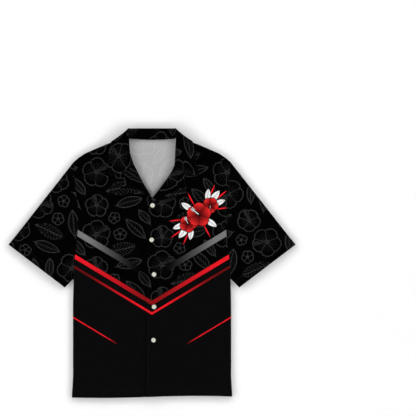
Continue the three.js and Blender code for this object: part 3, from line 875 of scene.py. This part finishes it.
def nearest_copy(u, v, centre, turn):
    """u and v from the nearest copy of a motif in the half-drop repeat, turned to lie along the motif."""
    column = maths("ROUND", (u - centre[0]) / REPEAT[0])
    across = times_plus(column, -REPEAT[0], u - centre[0])
    up = wrapped(times_plus(column, -REPEAT[1] / 2, v - centre[1]), REPEAT[1] / 2)
    return turned_by(across, up, turn)


def flower(x, y, size, petals=5):
    """Distance from the centre, place around a petal, distance outside the petals and the fold between."""
    radius = length_of(x, y)
    half = math.pi / petals
    turn = wrapped(maths("ARCTAN2", y, x), half)
    along = radius * maths("COSINE", turn)
    aside = radius * maths("SINE", turn)
    ruffle = maths("SINE", turn * 26) * (0.022 * size)
    edge = length_of(along - 0.56 * size, aside * 0.88) - 0.44 * size + ruffle
    between = radius * maths("SINE", half - abs(turn))
    return radius, turn, edge, between


def pistil(x, y, size):
    """The long stamen of a hibiscus, with the dots of pollen at its end."""
    shaft = abs(x - 0.42 * size) - 0.42 * size
    outer = length_of(maths("MAXIMUM", shaft, 0), y) - 0.045 * size
    dots = length_of(wrapped(x - 0.7 * size, 0.065 * size), abs(y) - 0.11 * size) - 0.03 * size
    at_end = inside(abs(x - 0.74 * size) - 0.19 * size)
    return outer, stroke(dots, 0.6 * FINE_LINE) * at_end


def hibiscus_lines(x, y, size):
    radius, turn, edge, between = flower(x, y, size)
    within = inside(edge)
    open_centre = inside(0.13 * size - radius)
    folds = stroke(between, FINE_LINE) * within * open_centre
    veins = stroke(wrapped(turn, 0.17) * radius, 0.55 * FINE_LINE)
    veins = veins * inside(abs(radius - 0.45 * size) - 0.24 * size, 6) * 0.6
    outer, dots = pistil(*turned_by(x, y, 14), size)
    petals = either(stroke(edge, LINE), folds, veins * within, stroke(radius - 0.13 * size, FINE_LINE))
    return either(petals * inside(-1 * outer), stroke(outer, FINE_LINE), dots), within


def small_flower_lines(x, y, size):
    radius, turn, edge, between = flower(x, y, size)
    within = inside(edge)
    folds = stroke(between, FINE_LINE) * within
    return either(stroke(edge, LINE), folds, stroke(radius - 0.16 * size, FINE_LINE)), within


def leaf_shape(x, y, length, width):
    """Distance outside a pointed leaf that lies along x."""
    radius = (length * length / 4 + width * width / 4) / width
    return length_of(x, abs(y) + (radius - width / 2)) - radius


def leaf_lines(x, y, length, width):
    edge = leaf_shape(x, y, length, width)
    within = inside(edge)
    rib = stroke(y, FINE_LINE) * inside(abs(x + 0.06 * length) - 0.53 * length)
    veins = stroke(wrapped(x - abs(y) * 1.2, 0.065 * length), 0.8 * FINE_LINE) * within * 0.75
    return either(stroke(edge, LINE), rib, veins), within


def frond_lines(x, y, length, width):
    """A palm frond: pointed leaflets on both sides of a stem."""
    slanted = x - abs(y) * 0.9
    tips = maths("COSINE", slanted * (2 * math.pi / (0.12 * length))) * 2
    reach = leaf_shape(x, y, length, width) + tips
    within = inside(reach)
    leaflets = stroke(wrapped(slanted, 0.06 * length), FINE_LINE) * within
    rib = stroke(y, LINE) * inside(abs(x + 0.06 * length) - 0.52 * length)
    return either(leaflets, stroke(reach, FINE_LINE), rib), within


# Each motif, its place in the repeat, its turn and its size. Later ones lie over earlier ones.
MOTIFS = [
    (leaf_lines, (126, 92), 15, (74, 28)),
    (leaf_lines, (144, 15), 135, (76, 28)),
    (frond_lines, (104, 132), 13, (80, 34)),
    (leaf_lines, (169, 48), 126, (54, 22)),
    (small_flower_lines, (100, 175), 18, (17,)),
    (small_flower_lines, (83, 47), 46, (16,)),
    (hibiscus_lines, (33, 80), 88, (32,)),
    (hibiscus_lines, (32, 175), 14, (41,)),
]


def print_group():
    tree, place, output = new_group("Floral outline print", {"Line": "NodeSocketFloat"})
    wobble = noise(tree, place, WOBBLE_SCALE, 1, "Color")
    u, v = parts_of(tree, vector_maths(tree, "MULTIPLY_ADD", {0: wobble, 1: WOBBLE, 2: place}))
    lines = 0.0
    for draw, centre, turn, sizes in MOTIFS:
        drawn, within = draw(*nearest_copy(u, v, centre, turn), *sizes)
        lines = either(drawn, (1 - within) * lines)
    faded = times_plus(noise(tree, place, FADE_SCALE), 0.9, 0.45, clamp=True)
    feed(tree, output, {0: lines * faded})
    return tree


# The badge, whose every shape has a dark outline

RED = (0.74, 0.01, 0.018)
BRIGHT_RED = (0.72, 0.02, 0.02)
DARK_RED = (0.09, 0.003, 0.004)
WHITE = (0.87, 0.87, 0.87)
INK = (0.0015, 0.0015, 0.0015)
OUTLINE = 1.8

# Its blades and leaves, back to front: colour, centre, turn, length and width
SPRAY_LEAVES = [
    (RED, (-60, -50), 216, 50, 3.8), (RED, (-36, -64), 246, 44, 3.4), (RED, (-66, -15), 186, 40, 3.4),
    (RED, (60, 54), 40, 50, 3.8), (RED, (36, 66), 66, 44, 3.4), (RED, (66, 19), 8, 40, 3.4),
    (RED, (-22, 44), 118, 44, 3.4), (RED, (22, -44), 298, 44, 3.4),
    (WHITE, (-55, -31), 202, 42, 15), (WHITE, (-23, -52), 264, 38, 15), (WHITE, (-43, -48), 230, 46, 17),
    (WHITE, (55, 35), 22, 42, 15), (WHITE, (25, 56), 84, 38, 15), (WHITE, (44, 52), 50, 46, 17),
    (WHITE, (-33, 23), 146, 42, 16), (WHITE, (33, -21), 326, 42, 16),
]
# Its flowers, back to front: centre, turn and size
SPRAY_FLOWERS = [((-31, -25), 65, 24), ((33, 28), 205, 22), ((0, 1), 90, 34)]


def badge_leaf(tree, colour, x, y, length, width, tint):
    """The colour with one leaf of the badge over it, and where the leaf and its outline are."""
    edge = leaf_shape(x, y, length, width)
    solid = inside(edge)
    if tint is WHITE:
        veins = either(stroke(y, 1.1), stroke(wrapped(x - abs(y) * 1.3, 3.4), 0.8))
        solid = solid * (1 - veins * 0.85)
    covered = inside(edge - OUTLINE)
    return mixed(tree, mixed(tree, colour, INK, covered), tint, solid), covered


def badge_flower(tree, colour, x, y, size):
    """The colour with one red hibiscus over it, and where the flower and its outline are."""
    radius, turn, edge, between = flower(x, y, size)
    veins = stroke(wrapped(turn, 0.12) * radius, 0.9) * inside(abs(radius - 0.46 * size) - 0.27 * size, 5)
    shaft, dots = pistil(*turned_by(x, y, 50), 0.96 * size)
    tone = times_plus(radius, 1.37 / size, -0.25, clamp=True)
    tone = tone * (0.8 + 0.2 * maths("COSINE", turn * 5))
    petals = mixed(tree, DARK_RED, BRIGHT_RED, tone)
    petals = mixed(tree, petals, DARK_RED, either(veins * 0.8, stroke(between, 1.6)))
    covered = inside(edge - OUTLINE)
    colour = mixed(tree, mixed(tree, colour, INK, covered), petals, inside(edge))
    colour = mixed(tree, colour, INK, inside(shaft - 1.2))
    return mixed(tree, colour, WHITE, either(inside(shaft + 0.5), dots)), covered


def badge_group():
    """A slanting spray of three red hibiscus with white leaves and thin red blades, about 150 mm long."""
    sockets = {"Colour": "NodeSocketColor", "Mask": "NodeSocketFloat"}
    tree, place, output = new_group("Flower badge", sockets)
    x, y = parts_of(tree, place)
    colour, mask = INK, 0.0
    shapes = [(badge_leaf, centre, turn, (length, width, tint))
              for tint, centre, turn, length, width in SPRAY_LEAVES]
    shapes += [(badge_flower, centre, turn, (size,)) for centre, turn, size in SPRAY_FLOWERS]
    for draw, centre, turn, sizes in shapes:
        at = turned_by(x - centre[0], y - centre[1], turn)
        colour, covered = draw(tree, colour, *at, *sizes)
        mask = either(covered, mask)
    feed(tree, output, {0: colour, 1: mask})
    return tree


def use_group(tree, group, place):
    node = new_node(tree, "ShaderNodeGroup", {0: place}, node_tree=group)
    return [Num(tree, output) for output in node.outputs]


# Materials

WEAVE = 1.2
SLUB_SCALE = 0.45
WEAR_SCALE = 0.05
TWIST_SCALE = 1500
TWIST_DISTORTION = 1.5
CLOUD_SCALE = 260
SCRATCH_SCALE = 2600
SHEEN_ROUGHNESS = 0.4
BUTTON_COAT = {"Coat Weight": 0.3, "Coat Roughness": 0.15, "Subsurface Weight": 0.05}
# The strength of each bump and its depth in millimetres
WEAVE_BUMP = (0.5, 0.25)
TWIST_BUMP = (0.4, 0.1)
SCRATCH_BUMP = (0.15, 0.05)


def new_material(name, rough, specular, sheen=0.0):
    material = bpy.data.materials.new(name)
    material.use_nodes = True
    tree = material.node_tree
    shader = tree.nodes["Principled BSDF"]
    finish = {"Roughness": rough, "Specular IOR Level": specular}
    feed(tree, shader, {**finish, "Sheen Weight": sheen, "Sheen Roughness": SHEEN_ROUGHNESS})
    return material, tree, shader


def cloth_place(tree):
    """Where a point lies on the flat cloth, in millimetres."""
    layer = new_node(tree, "ShaderNodeUVMap", {}, uv_map="Cloth")
    return vector_maths(tree, "SCALE", {0: layer.outputs[0], "Scale": 1 / MM})


def object_place(tree):
    return tree.nodes.new("ShaderNodeTexCoord").outputs["Object"]


def bumped(tree, height, strength, depth):
    inputs = {"Strength": strength, "Distance": depth * MM, "Height": height}
    return new_node(tree, "ShaderNodeBump", inputs).outputs[0]


def woven_material(name, rough, specular, sheen):
    """A plain weave and slight slubs, in the bump and the roughness.

    Gives the material, its shader, the place on the flat cloth, and the threads, slubs and wear.
    """
    material, tree, shader = new_material(name, rough, specular, sheen)
    place = cloth_place(tree)
    u, v = parts_of(tree, place)
    warp = maths("SINE", u * (2 * math.pi / WEAVE))
    weft = maths("SINE", v * (2 * math.pi / WEAVE))
    threads = warp * weft
    slubs = noise(tree, place, SLUB_SCALE, 3)
    soft = noise(tree, place, WEAR_SCALE, 3)
    height = times_plus(threads, 0.35, slubs + soft * 2.5)
    wear = times_plus(slubs, 0.14, times_plus(threads, -0.03, rough - 0.07), clamp=True)
    feed(tree, shader, {"Normal": bumped(tree, height, *WEAVE_BUMP), "Roughness": wear})
    return material, tree, shader, place, threads, slubs, soft


# Roughness, specular level and sheen
PRINTED_FINISH = (0.8, 0.01, 0.003)
INSIDE_FINISH = (0.85, 0.2, 0.1)
BLACK = (0.0002, 0.0002, 0.0002)
CHARCOAL = (0.0028, 0.0026, 0.0027)
LINE_GREY = (0.03, 0.03, 0.0305)
BAND_GREY = (0.17, 0.17, 0.17)
DEEP_RED = (0.25, 0.006, 0.008)
DUSKY_RED = (0.12, 0.004, 0.005)
LINT = (0.02, 0.02, 0.021)
INSIDE_DARK = (0.36, 0.36, 0.365)
INSIDE_PALE = (0.43, 0.43, 0.43)
INSIDE_PRINT = (0.52, 0.52, 0.52)

# The chevrons: their slope, where the charcoal starts, and each stripe's apex and width
CHEVRON_SLOPE = 0.6
CHARCOAL_TOP = 276
GREY_STRIPE = (340, 19)
BROAD_STRIPE = (268, 13)
NARROW_STRIPE = (238, 7)
SIDE_STRIPE = (92, 3.6)
STRIPE_SOFTNESS = 0.8
# How the stripes' tints change outwards: the slope and start. And for two of them, the distance from the
# middle where they have half faded, and the length of the fade.
STRIPE_TINT = (1 / 150, -0.2)
GREY_FADE = (30, 60)
SIDE_FADE = (118, 40)

# A badge's centre on the flat cloth and its scale
CHEST_BADGE = ((134, 137), 1.0)
BACK_BADGE = ((0, 136), 2.15)


def striped(tree, u, v, lines):
    """The ground colour with the print above the chevrons and the stripes over both."""
    side = abs(u)
    rise = times_plus(side, -CHEVRON_SLOPE, v - HEM_Y)
    above = inside(CHARCOAL_TOP - rise)
    colour = mixed(tree, mixed(tree, CHARCOAL, BLACK, above), LINE_GREY, lines * above)
    outer = times_plus(side, *STRIPE_TINT, clamp=True)
    fades = [inside(half - side, length) for half, length in (GREY_FADE, SIDE_FADE)]
    bands = [
        (GREY_STRIPE, mixed(tree, BLACK, BAND_GREY, outer * outer), fades[0]),
        (BROAD_STRIPE, mixed(tree, DEEP_RED, RED, outer), 1),
        (NARROW_STRIPE, mixed(tree, RED, DUSKY_RED, outer), 1),
        (SIDE_STRIPE, RED, fades[1]),
    ]
    for (apex, width), tint, fade in bands:
        colour = mixed(tree, colour, tint, stroke(rise - apex, width, STRIPE_SOFTNESS) * fade)
    return colour


def printed_cloth(name, prints, badge=None, stripes=False):
    """Black cloth with the floral outlines, and on the body the chevron stripes and a badge."""
    material, tree, shader, place, threads, slubs, soft = woven_material(name, *PRINTED_FINISH)
    lines = use_group(tree, prints[0], place)[0]
    if stripes:
        colour = striped(tree, *parts_of(tree, place), lines)
    else:
        colour = mixed(tree, BLACK, LINE_GREY, lines)
    if badge:
        centre, scale = badge
        move = {"Location": (-centre[0] / scale, -centre[1] / scale, 0), "Scale": (1 / scale, 1 / scale, 1)}
        shifted = new_node(tree, "ShaderNodeMapping", {**move, "Vector": place})
        colour = mixed(tree, colour, *use_group(tree, prints[1], shifted.outputs[0]))
    shade = times_plus(threads, 0.06, times_plus(slubs, 0.3, 0.83))
    worn = mixed(tree, colour, LINT, times_plus(soft, 0.1, -0.05, clamp=True))
    feed(tree, shader, {"Base Color": vector_maths(tree, "SCALE", {0: worn, "Scale": shade})})
    return material


def wrong_side_cloth(prints):
    """The unprinted back of the cloth, where the print shows through faintly."""
    name = "Cloth wrong side"
    material, tree, shader, place, threads, slubs, soft = woven_material(name, *INSIDE_FINISH)
    shade = times_plus(threads, 0.15, slubs * 0.5 + soft * 0.3, clamp=True)
    tone = mixed(tree, INSIDE_DARK, INSIDE_PALE, shade)
    lines = use_group(tree, prints[0], place)[0]
    feed(tree, shader, {"Base Color": mixed(tree, tone, INSIDE_PRINT, lines * 0.5)})
    return material


def thread_material(name, low, high):
    """Twisted sewing thread."""
    material, tree, shader = new_material(name, rough=0.75, specular=0.06, sheen=0.02)
    inputs = {"Scale": TWIST_SCALE, "Distortion": TWIST_DISTORTION, "Vector": object_place(tree)}
    wave = Num(tree, new_node(tree, "ShaderNodeTexWave", inputs).outputs["Fac"])
    rough = times_plus(wave, 0.2, 0.5)
    finish = {"Base Color": mixed(tree, low, high, wave), "Normal": bumped(tree, wave, *TWIST_BUMP)}
    feed(tree, shader, {**finish, "Roughness": rough})
    return material


def button_material(name, low, high):
    """Cream resin with a faint cloud in it and fine scratches."""
    material, tree, shader = new_material(name, rough=0.3, specular=0.5)
    place = object_place(tree)
    cloud = noise(tree, place, CLOUD_SCALE, 4)
    scratches = noise(tree, place, SCRATCH_SCALE, 3)
    rough = times_plus(scratches, 0.3, 0.14)
    finish = {"Base Color": mixed(tree, low, high, cloud), "Normal": bumped(tree, scratches, *SCRATCH_BUMP)}
    feed(tree, shader, {**finish, "Roughness": rough, **BUTTON_COAT})
    return material


# Small sewn parts, each kind joined into one mesh

STITCH_SINK = 0.08
STITCH_SHOULDER = 0.4
STITCH_FACES = [
    (0, 1, 3), (0, 3, 2), (0, 2, 1), (1, 4, 6, 3), (3, 6, 5, 2), (2, 5, 4, 1),
    (7, 6, 4), (7, 5, 6), (7, 4, 5),
]


def stitch_mesh(name, paths, material, slot="body_cloth", pitch=3.3, length=2.5, width=0.55, height=0.32):
    """Running stitches along paths. Each path gives its points and the way the cloth faces there."""
    centres, tangents, normals = [], [], []
    for points, facing in paths:
        steps = np.linalg.norm(np.diff(points, axis=0), axis=1)
        run = np.concatenate([[0], np.cumsum(steps)])
        places = np.arange(pitch * MM / 2, run[-1], pitch * MM)
        at = lambda values, where: np.stack([np.interp(where, run, values[:, k]) for k in range(3)], axis=1)
        centres.append(at(points, places))
        tangents.append(at(points, places + 0.5 * MM) - at(points, places - 0.5 * MM))
        normals.append(at(facing, places))
    centre, tangent, normal = (np.concatenate(values) for values in (centres, tangents, normals))
    tangent /= np.linalg.norm(tangent, axis=1, keepdims=True)
    normal /= np.linalg.norm(normal, axis=1, keepdims=True)
    end, side = tangent * length * MM / 2, np.cross(normal, tangent) * width * MM / 2
    down, up = normal * STITCH_SINK * MM, normal * height * MM
    corners = [centre - end - down]
    for shoulder in (-STITCH_SHOULDER * end, STITCH_SHOULDER * end):
        corners += [centre + shoulder + side, centre + shoulder - side, centre + shoulder + up]
    corners.append(centre + end - down)
    points = np.stack(corners, axis=1).reshape(-1, 3)
    faces = [tuple(len(corners) * k + i for i in face) for k in range(len(centre)) for face in STITCH_FACES]
    return new_piece(name, new_mesh(name, points.tolist(), faces), [material])


def ring_mesh(name, centres, profile, material, steps=28):
    """Rings turned from one closed profile of (radius, height), about each centre."""
    profile = np.array(profile) * MM
    points, faces = [], []
    for centre in centres:
        first = len(points)
        for angle in np.arange(steps) * 2 * np.pi / steps:
            across, up = profile[:, 0], profile[:, 1]
            ring = np.stack([across * math.cos(angle), across * math.sin(angle), up], axis=1)
            points += (ring + centre).tolist()
        for a in range(steps):
            b = (a + 1) % steps
            for s in range(len(profile)):
                t = (s + 1) % len(profile)
                corners = ((a, s), (b, s), (b, t), (a, t))
                faces.append(tuple(first + k * len(profile) + j for k, j in corners))
    return new_piece(name, new_mesh(name, points, faces), [material])


# Assembly

# Rows and columns that stitching follows or stops at: how far in from an edge it runs, how far from its
# ends it stops on the hems, the sleeves' hem row, where the collar's and lapels' lines start, and how far
# from its middle the collar's edge line stops
EDGE_STITCH = 4
HEM_END = 3
SLEEVE_STITCH_ROW = -10
LEAF_START = 20
LAPEL_START = 12
COLLAR_MIDDLE = 36
PLACKET_TOP = 8

prints = (print_group(), badge_group())
front_print = printed_cloth("Front cloth", prints, badge=CHEST_BADGE, stripes=True)
back_print = printed_cloth("Back cloth", prints, badge=BACK_BADGE, stripes=True)
sleeve_print = printed_cloth("Sleeve cloth", prints)
collar_print = printed_cloth("Collar cloth", prints)
wrong_side = wrong_side_cloth(prints)
dark_thread = thread_material("Black thread", (0.003, 0.003, 0.003), (0.012, 0.012, 0.0125))
pale_thread = thread_material("Button thread", (0.2, 0.19, 0.16), (0.32, 0.31, 0.26))
resin = button_material("Button resin", (0.66, 0.64, 0.53), (0.8, 0.79, 0.71))
# A darker copy of the button resin for the rims: painted shade round each button's edge
shaded_rim_resin = button_material("Button rim resin with painted shade", (0.36, 0.35, 0.28), (0.46, 0.45, 0.39))
pieces, seam_paths = {}, {}


def add_sheet(name, points, plan, thick, materials, slot, **how):
    """Puts a sheet in its CAD piece's place. Gives its outer face's points and normals, for stitching."""
    pieces[name] = cloth_sheet(f"{name}_cloth", points, plan, thick, materials, slot, **how)
    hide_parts(name)
    return np.array(surface_of(points, thick, how.get("flip", False)))


def nearest_row(values, want):
    return int(np.argmin(np.abs(values - want)))


hem_line = nearest_row(body_rows()[:, 0], HEM_DEPTH)
hem_path = np.s_[:, hem_line, HEM_END:-HEM_END]

x, height, level, thick, printed = back_grid()
plan = np.stack([-x, height + HEM_Y], axis=-1)
sides = [wrong_side, back_print, back_print, back_print]
points = to_metres(x, height, level)
face = add_sheet("back", points, plan, thick, sides, "body_cloth", hem=printed, rim=1)
seam_paths["back"] = [face[hem_path]]

for side in SIGNS:
    x, height, level, thick = front_grid(side)
    plan = np.stack([x, height + HEM_Y], axis=-1)
    sides = [front_print, wrong_side, front_print, front_print]
    points = to_metres(x, height, level)
    name = f"front_{side}"
    face = add_sheet(name, points, plan, thick, sides, "body_cloth", hem=in_body_hem(height))
    seam_paths[name] = [face[hem_path]]
    if side == "left":
        top = nearest_row(height[:, 0], LEAF_POINTS[side]["foot"] - PLACKET_TOP)
        seam_paths[name].append(face[:, 2:top, EDGE_STITCH])

for side, sign in SIGNS.items():
    x, height, level, thick, plan = sleeve_grid(side)
    sides = [sleeve_print, wrong_side, sleeve_print, sleeve_print]
    hem = thick > (SINGLE + DOUBLE) / 2
    points = to_metres(x, height, level)
    name = f"sleeve_{side}"
    face = add_sheet(name, points, plan, thick, sides, "sleeve_cloth", hem=hem, flip=sign > 0)
    top = points.shape[1] // 2
    seam_paths[name] = [face[:, SLEEVE_STITCH_ROW, HEM_END : top - 2]]

grid, plan = collar_grid()
points = to_metres(*np.moveaxis(grid, 2, 0))
face = add_sheet("collar", points, plan, COLLAR_CLOTH, [collar_print], "collar_cloth", flip=True)
column, middle, last = -1 - EDGE_STITCH, len(points) // 2, len(points) - 1 - EDGE_STITCH
seam_paths["collar"] = [
    face[:, last, LEAF_START : column + 1],
    face[:, EDGE_STITCH, LEAF_START : column + 1],
    face[:, middle + COLLAR_MIDDLE : last, column],
    face[:, EDGE_STITCH : middle - COLLAR_MIDDLE, column],
]

for side, sign in SIGNS.items():
    grid, plan = lapel_grid(side)
    points = to_metres(*np.moveaxis(grid, 2, 0))
    name = f"lapel_{side}"
    face = add_sheet(name, points, plan, LAPEL_CLOTH, [collar_print], "collar_cloth", flip=sign < 0)
    edge_line = face[:, EDGE_STITCH + 1 : -EDGE_STITCH, column]
    seam_paths[name] = [edge_line, face[:, column, LAPEL_START:-EDGE_STITCH]]

stitching = {name: stitch_mesh(f"stitches_{name}", paths, dark_thread) for name, paths in seam_paths.items()}

# Buttons keep their CAD form and gain a raised rim, thread and a buttonhole. The rim is in a darker copy of
# the button resin, painted shade round each button's edge.

BUTTONHOLE = np.linspace(-8.2, 8.2, 12)
BUTTONHOLE_EDGES = (-0.55, 0.55)
BUTTON_THREAD = np.linspace(-1.5, 1.5, 6)
THREAD_PLACES = (-1.06, 1.06)
RIM_PROFILE = [(6.35, -0.5), (6.3, 0.1), (6.0, 0.38), (5.6, 0.36), (5.2, 0.05), (5.1, -0.5)]


def facing_up(x, height, z):
    """A path for stitches on a face that looks up."""
    points = to_metres(x, height, z)
    return points, np.tile((0.0, 0.0, 1.0), (len(points), 1))


tops, holes, threads = [], [], []
for name, (across, up) in zip(button_names, BUTTON_PLACES):
    top = button_boxes[name][1].z / MM
    tops.append(to_metres(across, up, top))
    for material_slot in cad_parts[name].material_slots:
        material_slot.material = resin
    for aside in BUTTONHOLE_EDGES:
        x, heights = across + aside + 0 * BUTTONHOLE, up + BUTTONHOLE
        holes.append(facing_up(x, heights, level_of_front("left", x, heights) + DOUBLE / 2))
    for aside in THREAD_PLACES:
        level = 0 * BUTTON_THREAD
        threads.append(facing_up(across + aside + level, up + BUTTON_THREAD, top + level))
ring_mesh("button_rims", tops, RIM_PROFILE, shaded_rim_resin)
buttonholes = stitch_mesh("buttonholes", holes, dark_thread, pitch=0.62, length=0.6, width=1.2, height=0.28)
sizes = {"pitch": 3.0, "length": 3.4, "width": 0.9, "height": 0.5}
stitch_mesh("button_thread", threads, pale_thread, "button", **sizes)

# Sheets: the cut of what shows, in metres, how it is held, and what it rests on

CUTS = {
    "back": ((0.456, 0.745), "laid", []),
    "front_left": ((0.243, 0.742), "laid", ["back_cloth"]),
    "front_right": ((0.243, 0.742), "laid", ["back_cloth"]),
    "sleeve_left": ((0.62, 0.302), "folded", []),
    "sleeve_right": ((0.62, 0.302), "folded", []),
    "collar": ((0.44, 0.09), "folded", ["front_left_cloth", "front_right_cloth"]),
    "lapel_left": ((0.088, 0.112), "folded", ["front_left_cloth"]),
    "lapel_right": ((0.088, 0.1), "folded", ["front_right_cloth"]),
}
for name, (flat, held, under) in CUTS.items():
    extras = [stitching[name]] + ([buttonholes] if name == "front_left" else [])

# Floor, light and camera

FLOOR_REACH = 30
FLOOR_TONES = ((0.90, 0.90, 0.90), (0.93, 0.93, 0.93))
# The sky's brightness at shares of its height, from the horizon up, then the softbox
SKY_STOPS = [
    (0.0, 0.07), (0.12, 0.07), (0.17, 0.8), (0.22, 1.0), (0.26, 0.7), (0.3, 0.1), (0.4, 0.01), (1.0, 0.006),
]
SKY_STRENGTH = 17.8
SOFTBOX_SIZE = (2.4, 1.8)
SOFTBOX_POWER = 5
SOFTBOX_PLACE = (-1.9, 2.0, 1.7)
SOFTBOX_TURN = (-50, -44, 0)
VIEW_WIDTH = 1.1856
VIEW_CENTRE = (0.1596, 0.1572)
LENS = 150
SENSOR = 36


def floor_material():
    material, tree, shader = new_material("Pale floor", rough=0.9, specular=0.05)
    tint = noise(tree, object_place(tree), 3, 3)
    feed(tree, shader, {"Base Color": mixed(tree, *FLOOR_TONES, tint)})
    return material


def make_floor():
    corners = [(x * FLOOR_REACH, y * FLOOR_REACH, 0) for x, y in ((-1, -1), (1, -1), (1, 1), (-1, 1))]
    mesh = new_mesh("floor", corners, [(0, 1, 2, 3)])
    mesh.materials.append(floor_material())
    new_object("floor", mesh)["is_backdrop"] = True


def make_light():
    """An even ring of soft light from all sides, brightest at a low angle, and a weak softbox."""
    world = bpy.data.worlds.new("Studio")
    scene.world = world
    world.use_nodes = True
    tree = world.node_tree
    around = tree.nodes.new("ShaderNodeTexCoord").outputs["Generated"]
    height = new_node(tree, "ShaderNodeSeparateXYZ", {0: around}).outputs[2]
    ramp = new_node(tree, "ShaderNodeValToRGB", {0: height})
    for _ in SKY_STOPS[2:]:
        ramp.color_ramp.elements.new(0.5)
    for element, (place, shade) in zip(ramp.color_ramp.elements, SKY_STOPS):
        element.position = place
        element.color = (shade, shade, shade, 1)
    feed(tree, tree.nodes["Background"], {"Color": ramp.outputs[0], "Strength": SKY_STRENGTH})
    lamp = bpy.data.lights.new("Softbox", "AREA")
    lamp.shape = "RECTANGLE"
    lamp.size, lamp.size_y = SOFTBOX_SIZE
    lamp.energy = SOFTBOX_POWER
    softbox = new_object("Softbox", lamp)
    softbox.location = SOFTBOX_PLACE
    softbox.rotation_euler = [math.radians(turn) for turn in SOFTBOX_TURN]


def make_camera():
    data = bpy.data.cameras.new("Camera")
    data.lens = LENS
    data.sensor_width = SENSOR
    scene.camera = new_object("Camera", data)
    distance = VIEW_WIDTH * LENS / SENSOR
    scene.camera.location = (*VIEW_CENTRE, distance + cad_box[1].z / 2)


make_camera()
make_floor()
make_light()
scene.view_settings.view_transform = "Standard"

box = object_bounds()
sizes = {"cad": [list(corner) for corner in cad_box], "visual": [list(corner) for corner in box]}
